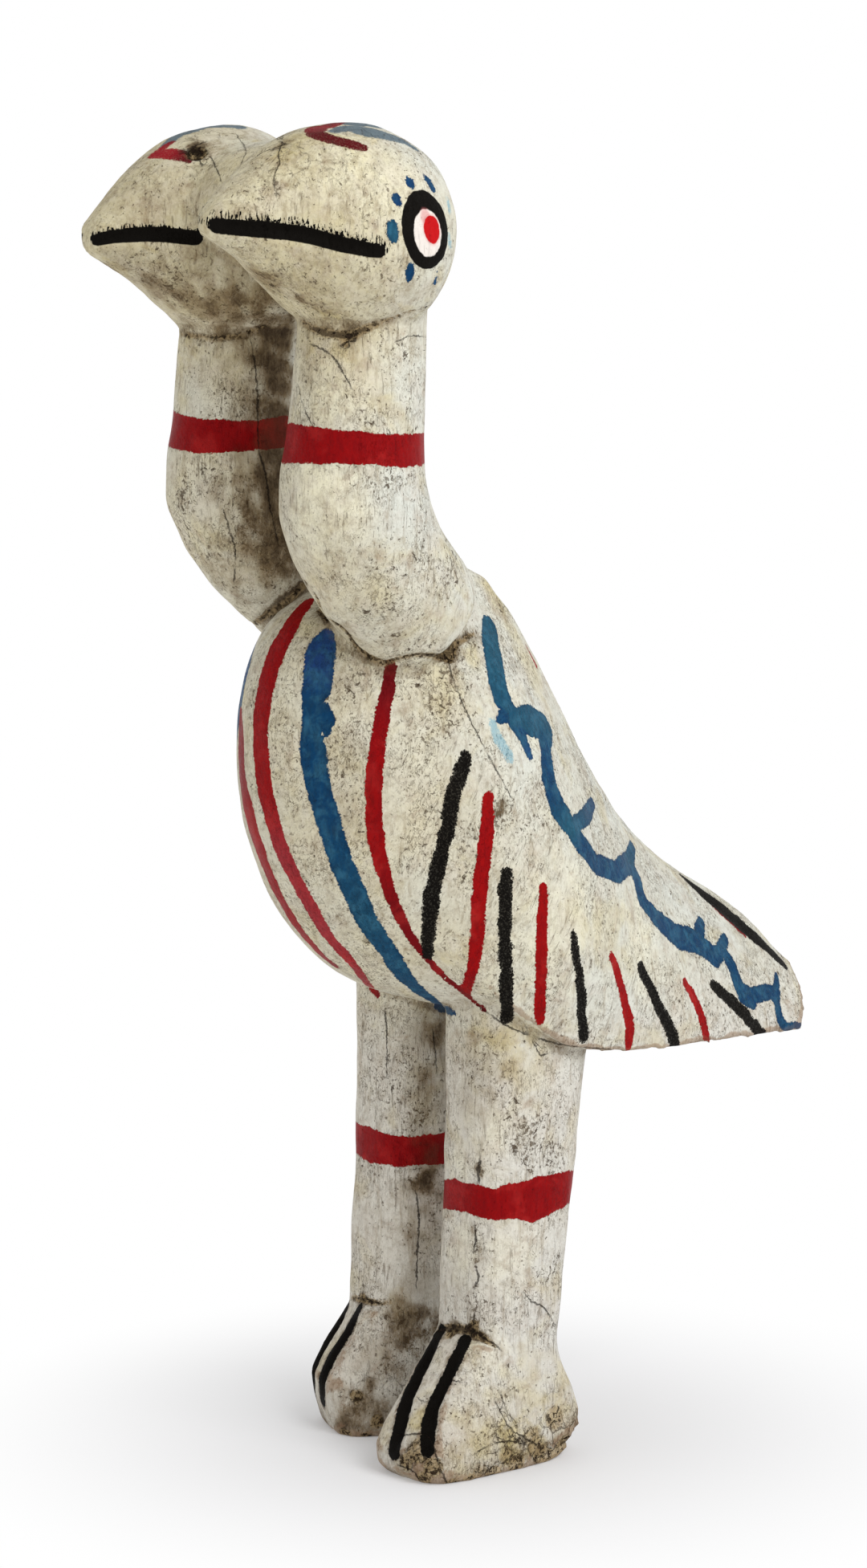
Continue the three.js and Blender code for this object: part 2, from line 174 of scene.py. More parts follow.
points = read_points(carving.data)
normals = read_normals(carving.data)
edges = read_edges(carving.data)
turn = 1 - (normals[edges[:, 0]] * normals[edges[:, 1]]).sum(1)
crispness = np.zeros(len(points))
np.maximum.at(crispness, edges[:, 0], turn)
np.maximum.at(crispness, edges[:, 1], turn)
crisp = soft_step(1 - math.cos(CRISP_FROM), 1 - math.cos(CRISP_TO), crispness)
for _ in range(2):
    crisp = np.maximum(crisp, neighbour_mean(crisp, edges))
join = np.zeros(len(points))
for centre, radius in SOFT_JOINS:
    join = np.maximum(join, ball_share(points, centre, radius))
everywhere = np.ones(len(points))
worn = np.maximum(1 - crisp, join)
worn = np.where(points[:, 2] < FOOT_TOP, np.maximum(worn * FOOT_WEAR, join), worn)
for _ in range(STEP_ROUNDS):
    points += SMOOTHING * (neighbour_mean(points, edges) - points)
    points += UNSHRINK * (neighbour_mean(points, edges) - points)
for rounds, share in ((EDGE_ROUNDS, everywhere), (WEAR_ROUNDS, worn), (JOIN_ROUNDS, join)):
    for _ in range(rounds):
        points += SMOOTHING * share[:, None] * (neighbour_mean(points, edges) - points)
points[:, 2] = np.maximum(points[:, 2], 0)
carving.data.vertices.foreach_set("co", points.ravel())
carving.data.update()


# Chips, pits and creases
# Places where the wood has broken or shrunk: crumbled toe tips, a chipped heel, a knot hole in the
# right crown, pits in the legs, and open creases where the necks and the chin meet the body.
# Pits are (pixel x, pixel y, radius mm, depth mm); creases are rows of (pixel x, pixel y, width mm).
PITS = [
    (520, 1806, 8, 1.6), (505, 1822, 6, 1.2), (540, 1828, 6, 1.4), (528, 1842, 5, 1.2),
    (717, 1791, 7, 4.2), (722, 1764, 4, 1.4), (702, 1803, 7, 3.2), (684, 1815, 5, 2.2),
    (664, 1803, 4, 1.4), (560, 1851, 5, 1.3), (586, 1847, 5, 1.3), (614, 1836, 6, 1.5),
    (645, 1824, 6, 1.6), (674, 1811, 6, 1.8), (405, 1776, 4, 1.2), (430, 1790, 5, 1.3),
    (456, 1789, 4, 1.0), (470, 1772, 5, 1.0), (444, 1740, 5, 0.9), (245, 190, 5.0, 3.2),
    (558, 817, 3.6, 2.2), (590, 1650, 3.6, 1.2), (692, 1766, 9, 0.8), (664, 1790, 8, 0.7),
    (632, 1814, 7, 0.7), (598, 1832, 6, 0.7), (430, 428, 2.6, 1.0), (560, 1660, 5.0, 1.0),
    (452, 1616, 3.5, 0.9),
]
CREASES = [
    [(216, 411, 1.5), (232, 417, 2), (255, 421, 2.5), (280, 421, 2.5), (305, 416, 2), (330, 408, 2)],
    [(480, 400, 2), (505, 391, 1.5), (528, 383, 1)],
    [(376, 402, 2.5), (400, 413, 4), (433, 418, 4), (457, 409, 3.5), (480, 400, 2)],
    [(392, 742, 2.5), (404, 767, 3), (427, 785, 3.5), (446, 808, 3.5), (475, 826, 3), (497, 821, 3),
     (520, 816, 3), (558, 817, 4), (570, 801, 3), (590, 789, 2)],
    [(303, 788, 2.5), (327, 770, 3), (360, 747, 3), (380, 727, 3)],
    [(543, 1656, 3), (566, 1654, 4), (590, 1660, 4), (616, 1675, 2.5)],
    [(438, 1616, 3), (466, 1622, 3), (486, 1622, 2)],
]
CREASE_DEPTH = 1.1
CREASE_SOFTNESS = 1.5
# Millimetres in a metre.
MM = 1000
NOT_ZERO = 1e-6
STROKE_STEP = 1.5
USUAL_SHADE = 0.5
FACING_AWAY = 0.1
OUT_OF_REACH = 20


def new_skin(points, mesh):
    """The carving's surface, to be met by lines of sight and to be searched for its nearest point."""
    return BVHTree.FromPolygons(points.tolist(), [face.vertices[:] for face in mesh.polygons])


def seen_at(x, y):
    """The carving's point under a pixel of the photograph, or else the one nearest to that sight line."""
    ray = line_of_sight(x, y)
    place, normal, _, _ = skin.ray_cast(eye_point, ray)
    if place:
        return np.array(place), np.array(normal)
    away = points - np.array(eye_point)
    aside = away - np.outer(away @ np.array(ray), np.array(ray))
    nearest = int((aside ** 2).sum(1).argmin())
    return points[nearest], normals[nearest]


def smooth_run(rows, step=STROKE_STEP, straight=False):
    """Closely spaced rows on a smooth line through the given rows."""
    rows = np.array(rows, float)
    padded = np.vstack([2 * rows[0] - rows[1], rows, 2 * rows[-1] - rows[-2]])
    pieces = []
    for before, start, end, after in zip(padded, padded[1:], padded[2:], padded[3:]):
        count = max(2, int(np.hypot(*(end - start)[:2]) / step))
        t = np.linspace(0, 1, count, endpoint=False)[:, None]
        if straight:
            pieces.append(start + (end - start) * t)
            continue
        bow = (2 * before - 5 * start + 4 * end - after) * t ** 2
        twist = (3 * start - before - 3 * end + after) * t ** 3
        pieces.append(start + 0.5 * ((end - before) * t + bow + twist))
    return np.vstack(pieces + [rows[-1:]])


def laid_on(runs, straight=False):
    """Runs of (pixel x, pixel y, width, shade) as samples on the carving: place, normal, width, shade."""
    samples = []
    for run in runs:
        for row in smooth_run(run, straight=straight):
            place, normal = seen_at(row[0], row[1])
            extra = row[2:] if len(row) > 3 else np.array([row[2], USUAL_SHADE])
            samples.append(np.concatenate([place, normal, extra]))
    return np.array(samples)


def mirrored(samples, shift=(0, 0, 0), width=1.0):
    """The same samples on the bird's other side, moved a little, as a second hand-made stroke is."""
    other = samples.copy()
    for row in other:
        place = Vector((-row[0], row[1], row[2])) + Vector(shift)
        spot, normal, _, _ = skin.find_nearest(place)
        row[:3] = spot
        row[3:6] = normal
        row[6] *= width
    return other


def sorted_by_place(samples):
    """The samples in a tree that finds the nearest one to a point."""
    finder = KDTree(len(samples))
    for i, row in enumerate(samples):
        finder.insert(row[:3], i)
    finder.balance()
    return finder


def distance_to(samples):
    """Each point's distance in mm outside the samples' painted width, and the nearest sample's shade."""
    finder = sorted_by_place(samples)
    distance = np.full(len(points), np.inf)
    nearest = np.zeros(len(points), dtype=int)
    margin = OUT_OF_REACH / MM
    low = samples[:, :3].min(0) - margin
    high = samples[:, :3].max(0) + margin
    for i in np.nonzero(((points > low) & (points < high)).all(1))[0]:
        _, nearest[i], distance[i] = finder.find(points[i])
    found = samples[nearest]
    away = (normals * found[:, 3:6]).sum(1) < FACING_AWAY
    signed = distance * MM - found[:, 6] / 2
    return np.where(away, OUT_OF_REACH, np.minimum(signed, OUT_OF_REACH)), found[:, 7]


def keep(name, values):
    """Stores one value for each point of the carving, for its material to read."""
    kind = "FLOAT" if values.ndim == 1 else "FLOAT_VECTOR"
    attribute = carving.data.attributes.new(name, kind, "POINT")
    attribute.data.foreach_set("value" if values.ndim == 1 else "vector", values.ravel())


normals = read_normals(carving.data)
skin = new_skin(points, carving.data)
carve_in = np.zeros(len(points))
for x, y, radius, depth in PITS:
    place, _ = seen_at(x, y)
    carve_in = np.maximum(carve_in, depth * ball_share(points, place, radius / MM))
crease, _ = distance_to(laid_on(CREASES))
carve_in = np.maximum(carve_in, CREASE_DEPTH * (1 - soft_step(-CREASE_SOFTNESS, CREASE_SOFTNESS, crease)))
keep("carve_in", carve_in)
keep("crease", crease)


# The knife's marks
# The whole block was cut with a knife and hardly sanded, so its surface has shallow flats, a faint
# grain that runs up the log, and crumbled wood where it is chipped. The rule below cuts all three.
FLAT_LENGTH = 0.026
FLAT_DEPTH = 0.0010
GRAIN_WIDTH = 0.005
GRAIN_DEPTH = 0.00025
CHIP_SIZE = 0.006
CHIP_LEAST = 0.0003
CHIP_MORE = 0.0008
CRUMB_SPAN = (0.25, 0.6)
LOG_GRAIN = (1, 1, 0.12)
CLEAR_OF_GROUND = (0.0005, 0.006)
paint = bpy.data.materials.new("painted_wood")


def is_socket(value):
    return isinstance(value, bpy.types.NodeSocket)


def add_node(kind, inputs, tree=None, **settings):
    """A node with its settings made and its inputs set or linked, in its inputs' tree if none is named."""
    tree = tree or next(value.id_data for value in inputs.values() if is_socket(value))
    node = tree.nodes.new(kind)
    for name, value in settings.items():
        setattr(node, name, value)
    for name, value in inputs.items():
        if is_socket(value):
            tree.links.new(value, node.inputs[name])
        else:
            node.inputs[name].default_value = value
    return node


def reckon(operation, *values, clamp=False):
    """The outcome of a Math node."""
    inputs = dict(enumerate(values))
    return add_node("ShaderNodeMath", inputs, operation=operation, use_clamp=clamp).outputs[0]


def times(value, factor):
    """A value times a factor."""
    return reckon("MULTIPLY", value, factor)


def times_plus(value, factor, start, clamp=False):
    """A value times a factor, plus a start."""
    return reckon("MULTIPLY_ADD", value, factor, start, clamp=clamp)


def rest(share):
    """What a share leaves of 1."""
    return reckon("SUBTRACT", 1, share)


def most(first, *others):
    """The greatest of several values."""
    for other in others:
        first = reckon("MAXIMUM", first, other)
    return first


def reckon_vector(operation, *values):
    """The outcome of a Vector Math node."""
    return add_node("ShaderNodeVectorMath", dict(enumerate(values)), operation=operation).outputs[0]


def noise(place, scale, detail=2.0, roughness=0.5, twist=0.0):
    """Soft cloudy values about 0.5."""
    inputs = {"Vector": place, "Scale": scale, "Detail": detail, "Roughness": roughness}
    return add_node("ShaderNodeTexNoise", {**inputs, "Distortion": twist}).outputs[0]


def between(value, low, high):
    """0 at low and 1 at high, with a soft step between them."""
    inputs = {"Value": value, "From Min": low, "From Max": high}
    return add_node("ShaderNodeMapRange", inputs, interpolation_type="SMOOTHSTEP").outputs[0]


relief = bpy.data.node_groups.new("knife marks", "GeometryNodeTree")
relief.is_modifier = True
relief.interface.new_socket("Geometry", in_out="INPUT", socket_type="NodeSocketGeometry")
relief.interface.new_socket("Geometry", in_out="OUTPUT", socket_type="NodeSocketGeometry")
relief_values = {
    "Flat length": FLAT_LENGTH,
    "Flat depth": FLAT_DEPTH,
    "Grain width": GRAIN_WIDTH,
    "Grain depth": GRAIN_DEPTH,
    "Chip size": CHIP_SIZE,
}
relief_sockets = {}
for name in relief_values:
    socket = relief.interface.new_socket(name, in_out="INPUT", socket_type="NodeSocketFloat")
    relief_sockets[name] = socket.identifier
given = relief.nodes.new("NodeGroupInput").outputs
where = relief.nodes.new("GeometryNodeInputPosition").outputs[0]
outward = relief.nodes.new("GeometryNodeInputNormal").outputs[0]
flats = noise(where, reckon("DIVIDE", 1, given["Flat length"]), 1.0)
flats = times(reckon("SUBTRACT", flats, 0.5), given["Flat depth"])
along_log = reckon_vector("MULTIPLY", where, LOG_GRAIN)
grain = noise(along_log, reckon("DIVIDE", 1, given["Grain width"]), 2.0)
grain = times(reckon("SUBTRACT", grain, 0.5), given["Grain depth"])
crumbs = noise(where, reckon("DIVIDE", 1, given["Chip size"]), 3.0, 0.6)
crumbs = between(crumbs, *CRUMB_SPAN)
chip = add_node("GeometryNodeInputNamedAttribute", {"Name": "carve_in"}, relief, data_type="FLOAT")
chip = times(chip.outputs[0], times_plus(crumbs, CHIP_MORE, CHIP_LEAST))
height = add_node("ShaderNodeSeparateXYZ", {0: where}).outputs[2]
off_the_ground = between(height, *CLEAR_OF_GROUND)
out = reckon("ADD", times(flats, 2), times(grain, 2))
out = times(reckon("SUBTRACT", out, chip), off_the_ground)
offset = add_node("ShaderNodeVectorMath", {0: outward, 3: out}, operation="SCALE").outputs[0]
shifted = add_node("GeometryNodeSetPosition", {"Geometry": given["Geometry"], "Offset": offset})
plain = add_node("GeometryNodeRealizeInstances", {"Geometry": shifted.outputs[0]})
coated = add_node("GeometryNodeSetMaterial", {"Geometry": plain.outputs[0], "Material": paint})
relief.links.new(coated.outputs[0], relief.nodes.new("NodeGroupOutput").inputs[0])

knife_marks = carving.modifiers.new("knife marks", "NODES")
knife_marks.node_group = relief
for name, value in relief_values.items():
    knife_marks[relief_sockets[name]] = value
settle(carving)
points = read_points(carving.data)
normals = read_normals(carving.data)
skin = new_skin(points, carving.data)


# The red strokes
# Crimson house paint, put on with a flat brush: two long strokes down the middle of the breast, one
# along each wing's front edge, four and two short dabs across each wing, and a band around each neck
# and leg. Rows are (pixel x, pixel y, width mm, shade), here and for the other colours.
RED_FRONT = [
    [(382, 751, 7.5, 0.4), (366, 772, 9.5, 0.4), (346, 808, 11, 0.4), (332, 849, 11.5, 0.4),
     (325, 889, 11.5, 0.4), (325, 941, 10.5, 0.4), (331, 989, 10.5, 0.6), (348, 1050, 9.5, 0.9),
     (361, 1082, 9, 1), (385, 1126, 8.5, 1), (409, 1166, 7.5, 1), (434, 1194, 6, 0.9),
     (455, 1222, 5, 0.7), (470, 1238, 3.4, 0.3)],
]
RED_SIDE = [
    [(487, 827, 5, 0.1), (483, 861, 6, 0.15), (475, 901, 7, 0.3), (469, 941, 7.5, 0.4),
     (466, 981, 7.5, 0.4), (466, 1021, 7.5, 0.4), (472, 1062, 7, 0.4), (481, 1098, 6, 0.3),
     (493, 1130, 5, 0.2), (509, 1162, 4.5, 0.2), (529, 1190, 4, 0.2), (553, 1216, 3.6, 0.2),
     (581, 1239, 3.4, 0.2), (603, 1258, 2.5, 0.1)],
    [(608, 993, 5.5, 0.5), (606, 1042, 7, 0.5), (599.5, 1090, 7, 0.5), (595.5, 1134, 7, 0.5),
     (593.5, 1174, 6, 0.5), (587.5, 1210, 5.5, 0.5), (579, 1235, 5, 0.5)],
    [(677, 1106, 4.6, 0.6), (676, 1142, 5.4, 0.6), (675, 1182, 5.4, 0.6), (674, 1222, 5.6, 0.6),
     (672, 1271, 5, 0.6)],
    [(762, 1191, 4.5, 0.6), (770.5, 1217, 5, 0.6), (778, 1247, 5.2, 0.6), (784, 1278, 5.4, 0.6),
     (783, 1304, 4.5, 0.5)],
    [(854, 1225, 5, 0.6), (866, 1247, 5.6, 0.6), (876, 1274, 5.4, 0.6), (881, 1296, 4.5, 0.6)],
    [(655, 804, 2.4, 0.2), (668, 829, 3.0, 0.6)],
    [(887, 1127, 2.5, 0.3), (928, 1165, 3, 0.3)],
]
# Each band: the middle of its neck or leg (X m, Y m), then its upper and its lower edge in pixels.
BANDS = [
    ((0.046, -0.099),
     [(353, 529), (366, 527), (386, 531), (415, 535), (460, 539), (488, 541), (512, 540), (534, 537)],
     [(351, 571), (375, 577), (402, 578), (450, 578), (475, 580), (500, 582), (534, 579)]),
    ((-0.046, -0.099),
     [(211, 510), (222, 515), (240, 520), (280, 523), (320, 524), (350, 518)],
     [(208, 554), (224, 561), (250, 565), (290, 563), (320, 561), (350, 558)]),
    ((0.036, -0.010),
     [(551, 1464), (566, 1468), (577, 1473), (600, 1477), (615, 1481), (633, 1474), (661, 1470),
      (664, 1466), (690, 1463), (708, 1458)],
     [(549, 1500), (561, 1506), (580, 1510), (597, 1517), (641, 1518), (664, 1523), (676, 1517),
      (689, 1510), (706, 1500)]),
    ((-0.036, -0.010),
     [(450, 1401), (462, 1404), (475, 1411), (490, 1413), (508, 1416), (530, 1413), (550, 1412)],
     [(448, 1440), (462, 1449), (470, 1448), (485, 1452), (500, 1453), (525, 1451), (549, 1450)]),
]
BAND_SHADE = 0.35
BAND_REACH = 0.045
# The right-hand stroke on the breast, as rows of (X mm, Z mm, width mm, shade) seen from in front.
RED_OTHER_FRONT = [
    [(-20, 341, 6, 0.4), (-16.5, 331, 10.5, 0.3), (-15.5, 322, 11.5, 0.3), (-14, 312, 12, 0.3),
     (-11.5, 300, 13, 0.4), (-9, 287, 13, 0.4), (-7, 272, 11, 0.4), (-5.5, 259, 9.5, 0.5),
     (-3.5, 246, 8, 0.5), (-1.5, 234, 7, 0.4), (1, 227, 5, 0.3)],
]
QUARTER_TURN = Matrix.Rotation(math.pi / 2, 4, "X")
FROM_FRONT = Matrix.Translation((0, -0.3, 0)) @ QUARTER_TURN
SIDE_STEP = 0.8


def band_edge(edge, middle):
    """The height in mm of a band's edge at every point, by the direction from the neck or leg's middle."""
    spots = np.array([seen_at(x, y)[0] for x, y in edge])
    ways = np.arctan2(spots[:, 1] - middle[1], spots[:, 0] - middle[0])
    order = np.argsort(ways)
    here = np.arctan2(points[:, 1] - middle[1], points[:, 0] - middle[0])
    return np.interp(here, ways[order], spots[order, 2], period=2 * math.pi) * MM


def laid_from(view, runs):
    """Runs of (across mm, up mm, width, shade), seen straight from one side, as samples."""
    ray = view.to_3x3() @ Vector((0, 0, -1))
    samples = []
    for run in runs:
        for across, up, width, shade in smooth_run(run, step=SIDE_STEP):
            place, normal, _, _ = skin.ray_cast(view @ Vector((across / MM, up / MM, 0)), ray)
            samples.append([*place, *normal, width, shade])
    return np.array(samples)


red_front = laid_on(RED_FRONT)
red_side = laid_on(RED_SIDE)
red_other_front = laid_from(FROM_FRONT, RED_OTHER_FRONT)
red_other_side = mirrored(red_side, (0, 0.0015, -0.001), 0.95)
red_one, red_one_shade = distance_to(np.vstack([red_front, red_side]))
red_two, red_two_shade = distance_to(np.vstack([red_other_front, red_other_side]))
for middle, upper, lower in BANDS:
    top = band_edge(upper, middle)
    bottom = band_edge(lower, middle)
    near = np.abs(points[:, 2] * MM - (top + bottom) / 2) < OUT_OF_REACH
    near &= np.linalg.norm(points[:, :2] - np.array(middle), axis=1) < BAND_REACH
    band = np.maximum(points[:, 2] * MM - top, bottom - points[:, 2] * MM)
    band = np.where(near, band, OUT_OF_REACH)
    red_one_shade = np.where(band < red_one, BAND_SHADE, red_one_shade)
    red_one = np.minimum(red_one, band)
keep("red_one", red_one)
keep("red_two", red_two)
keep("red_shade", np.where(red_one < red_two, red_one_shade, red_two_shade))


# The blue strokes
# The same paint in blue: a broad stroke down each side of the breast, a wavering line with spikes and
# drips from each shoulder to the tail, and short dashes around each eye.
BLUE_BREAST = [
    [(407, 791, 7, 0.9), (403, 800, 12, 0.9), (399, 814, 14, 0.95), (396, 835, 14, 0.9),
     (394, 869, 13.5, 0.6), (393, 901, 13, 0.45), (390.5, 941, 12.5, 0.4), (396.6, 981, 12, 0.4),
     (408.6, 1021, 11.5, 0.3), (422.7, 1066, 11.5, 0.25), (439, 1106, 11.5, 0.2), (457, 1146, 11, 0.15),
     (481, 1182, 10, 0.2), (505, 1218, 8.5, 0.2), (529, 1239, 7, 0.25), (553, 1255, 5, 0.3),
     (566, 1262, 2.5, 0.3)],
    [(401, 882, 6, 0.5), (409, 896, 6, 0.4), (407, 912, 4, 0.4)],
]
BLUE_OTHER_BREAST = [
    [(-23, 368, 10, 0.9), (-22, 360, 13, 0.9), (-22.5, 351, 13, 0.8), (-28, 337, 12.5, 0.5),
     (-34, 318, 12, 0.4), (-37, 300, 12, 0.3), (-37, 282, 11, 0.3), (-35, 265, 11, 0.2),
     (-31, 251, 10, 0.2), (-26, 240, 8, 0.2), (-21, 231, 5, 0.2)],
]
BLUE_LINE = [
    [(610, 780, 11, 0.0), (612, 800, 13, 0.0), (617, 830, 13, 0.05), (622, 858, 12, 0.1),
     (630, 883, 12, 0.15), (645, 901, 15, 0.1), (664, 899, 17, 0.1), (678, 905, 14, 0.1),
     (680, 935, 9, 0.3), (684, 973, 10.5, 0.4), (696, 1008, 12, 0.2), (714, 1030, 13, 0.0),
     (725, 1052, 11, 0.3), (742, 1076, 10, 0.35), (768, 1086, 11, 0.35), (784, 1074, 11, 0.2),
     (793, 1094, 10, 0.3), (800, 1122, 9, 0.35), (822, 1148, 11, 0.4), (845, 1167, 13, 0.4),
     (870, 1172, 14, 0.35), (890, 1192, 11, 0.35), (900, 1183, 8, 0.35), (912, 1203, 7, 0.35),
     (922, 1232, 8, 0.4), (936, 1240, 9, 0.5), (966, 1233, 6.5, 0.5), (967, 1246, 6, 0.4),
     (972, 1272, 6, 0.4), (980, 1279, 4.5, 0.4), (996, 1278, 3, 0.4)],
    [(717, 1027, 8, 0.1), (732, 1014, 9, 0.2), (738, 1000, 6, 0.3)],
    [(784, 1074, 10, 0.1), (788, 1054, 6, 0.2)],
    [(870, 1172, 10, 0.3), (873, 1148, 6, 0.3)],
    [(896, 1190, 8, 0.3), (903, 1168, 5.5, 0.3)],
    [(967, 1236, 6, 0.4), (967, 1213, 2.6, 0.4)],
    [(926, 1238, 11, 0.4), (938, 1250, 6, 0.5)],
    [(646, 904, 11, 0.2), (652, 922, 6, 0.6), (660, 941, 4.5, 0.9)],
    [(630, 889, 9, 0.4), (622, 898, 4.4, 0.6)],
]
BLUE_SMEAR = [[(613, 900, 5), (620, 918, 6), (628, 930, 6), (635, 943, 5)]]
BLUE_DASHES = [
    [(508, 221, 2.4), (510.5, 227, 4.2), (513, 234, 2.4)],
    [(529, 219, 2.8), (535, 228, 4.4), (540, 237, 2.6)],
    [(491.5, 242, 2.4), (494, 250, 4), (497.5, 257, 2.2)],
    [(511, 332, 3.4, 0.6), (511, 341, 4.0, 0.6), (509.5, 349, 2.6, 0.6)],
    [(544, 339.5, 2.2, 0.8), (541, 352.5, 2.6, 0.8)],
]
TEAL_DASHES = [[(489, 281, 5), (490, 290, 5.8), (491.5, 298, 4)]]
FAINT_DASHES = [
    [(557.5, 247, 2.6), (560, 263, 2.4)],
    [(559, 293, 3), (561, 305, 2.4)],
]


def shaded(runs, shade):
    """The runs with this shade where a row has none of its own."""
    return [[tuple(row) if len(row) > 3 else (*row, shade) for row in run] for run in runs]


breast_blue = laid_on(BLUE_BREAST)
line_blue = laid_on(BLUE_LINE, straight=True)
dash_blue = laid_on(shaded(BLUE_DASHES, 0.7) + shaded(TEAL_DASHES, 0.1))
blue_samples = np.vstack([
    breast_blue,
    line_blue,
    dash_blue,
    laid_from(FROM_FRONT, BLUE_OTHER_BREAST),
    mirrored(line_blue, (0, -0.002, 0.001)),
    mirrored(dash_blue, (0, 0.001, 0.001)),
])
blue, blue_shade = distance_to(blue_samples)
keep("blue", blue)
keep("blue_shade", blue_shade)
faint_blue, _ = distance_to(laid_on(BLUE_SMEAR + FAINT_DASHES))
keep("faint_blue", faint_blue)


# The black strokes
# Black paint, used dry so that its edges are ragged: five strokes across each wing, one along the
# ridge of the tail, and thick paint in the mouths and toe grooves.
BLACK_SIDE = [
    [(581, 941, 6), (575, 961, 7), (563, 997, 7), (557, 1034, 7), (547, 1074, 7), (539, 1106, 7.5),
     (535, 1142, 7), (532, 1190, 5.5)],
    [(630, 1088, 6.5), (629, 1134, 6.3), (630, 1182, 6.3), (630.5, 1222, 6.3), (632, 1267, 6)],
    [(714, 1163, 4), (718, 1191, 4.2), (723.5, 1229, 5), (725, 1266, 5.2), (727, 1293, 5)],
    [(798, 1204, 5.5), (800, 1212, 6), (808, 1225, 6), (819, 1251, 6), (831, 1274, 6.5),
     (841, 1300, 6.5)],
    [(889, 1227, 6), (910, 1246, 7), (930, 1266, 7), (949, 1289, 6)],
]
BLACK_RIDGE = [
    [(848, 1090, 3), (861, 1101, 6), (898, 1131, 9), (928, 1157, 9), (955, 1180, 8), (977, 1202, 6)],
]
TOE_GROOVES = [
    [(548, 1658, 7), (528, 1700, 7.5), (509, 1739, 7.5), (500, 1775, 7.5), (491, 1808, 8)],
    [(579, 1670, 7), (565, 1705, 8), (551.6, 1734, 8), (539, 1759, 8), (534, 1785, 8), (533, 1807, 7)],
]
# The right foot's grooves, as rows of (across mm, up mm, width mm, shade) seen from its toes.
RIGHT_TOE_GROOVES = [
    [(-8.5, 13, 6, 0), (-8.5, 35, 5.6, 0), (-8.5, 58, 5, 0)],
    [(8.5, 14, 6, 0), (8.5, 35, 5.6, 0), (8.5, 57, 5, 0)],
]
RIGHT_FOOT_TURN = Matrix.Rotation(math.radians(-18), 4, "Z")
FROM_RIGHT_TOES = Matrix.Translation((-0.032, 0, 0)) @ RIGHT_FOOT_TURN @ FROM_FRONT

black_side = laid_on(shaded(BLACK_SIDE, 1))
black, black_dry = distance_to(np.vstack([
    black_side,
    mirrored(black_side, (0, -0.001, 0.001)),
    laid_on(shaded(BLACK_RIDGE, 0.5)),
    laid_on(shaded(TOE_GROOVES, 0)),
    laid_from(FROM_RIGHT_TOES, RIGHT_TOE_GROOVES),
]))
keep("black", black)
keep("black_dry", black_dry)


# The mouths
# A groove along both cheeks of each beak, filled with thick black paint that has bled upwards in fine
# hairs along the grain.
MOUTH_LEFT = [(269, 281, 6.2), (301, 283.5, 7), (353, 288, 7.2), (388, 294, 7), (422, 303, 6.8),
              (457, 310.5, 6.2), (473, 313.5, 5.2)]
MOUTH_RIGHT = [(120, 299, 5.0), (146, 294, 6.2), (191, 291.5, 6.8), (243, 296, 6.8)]
HEAD_TO_SIDE = 0.047


def other_cheek(samples, middle):
    """The same samples on the other cheek of the same head."""
    flipped = samples.copy()
    for row in flipped:
        place = Vector((2 * middle - row[0], row[1], row[2]))
        spot, normal, _, _ = skin.find_nearest(place)
        row[:3] = spot
        row[3:6] = normal
    return flipped


mouth_left = laid_on([MOUTH_LEFT])
mouth_right = laid_on([MOUTH_RIGHT])
mouth_samples = np.vstack([
    mouth_left,
    other_cheek(mouth_left, HEAD_TO_SIDE),
    mouth_right,
    other_cheek(mouth_right, -HEAD_TO_SIDE),
])
mouth, _ = distance_to(mouth_samples)
mouth_finder = sorted_by_place(mouth_samples)
mouth_up = np.full(len(points), float(OUT_OF_REACH))
for i in np.nonzero(mouth < OUT_OF_REACH - 1)[0]:
    line_point = mouth_samples[mouth_finder.find(points[i])[1]]
    mouth_up[i] = (points[i][2] - line_point[2]) * MM
keep("mouth", mouth)
keep("mouth_up", mouth_up)


# The eyes
# Painted rings on the outer cheek of each head: black, then white, with a red pupil that sits a little
# to the back and a pale pink smear above it.
EYE_CENTRE = (532.2, 286)
EYE_REACH = 0.060
EYE_NARROWNESS = 1.36
EYE_LEAN = 0.10
# The rings in mm: their middles (towards the beak, up), then where each is bare and where it is full.
BLACK_MIDDLE = (0, 0)
WHITE_MIDDLE = (-0.5, -1.5)
PINK_MIDDLE = (0.2, 5.2)
PUPIL_MIDDLE = (-3.4, 0)
BLACK_RING = (16.9, 16.4)
WHITE_RING = (10.2, 9.6)
PINK_SMEAR = (4.6, 2.2)
PUPIL = (6.1, 5.6)
PUPIL_GLOW = (7.4, 5.9)

eye_place, eye_normal = seen_at(*EYE_CENTRE)
eye_uv = np.zeros((len(points), 3))
for side in (1, -1):
    centre = eye_place * np.array([side, 1, 1])
    facing = eye_normal * np.array([side, 1, 1])
    up = np.array([0, 0, 1]) - facing[2] * facing
    up /= np.linalg.norm(up)
    to_beak = np.cross(facing, up) * side
    offset = points - centre
    reach = np.linalg.norm(offset, axis=1)
    flat = np.stack([offset @ to_beak, offset @ up], 1)
    flat *= (reach / np.maximum(np.linalg.norm(flat, axis=1), NOT_ZERO))[:, None]
    flat[:, 0] = (flat[:, 0] - EYE_LEAN * flat[:, 1]) * EYE_NARROWNESS
    here = points[:, 0] * side > 0
    eye_uv[here, :2] = np.where((reach < EYE_REACH)[:, None], flat, EYE_REACH)[here] * MM
keep("eye_uv", eye_uv)


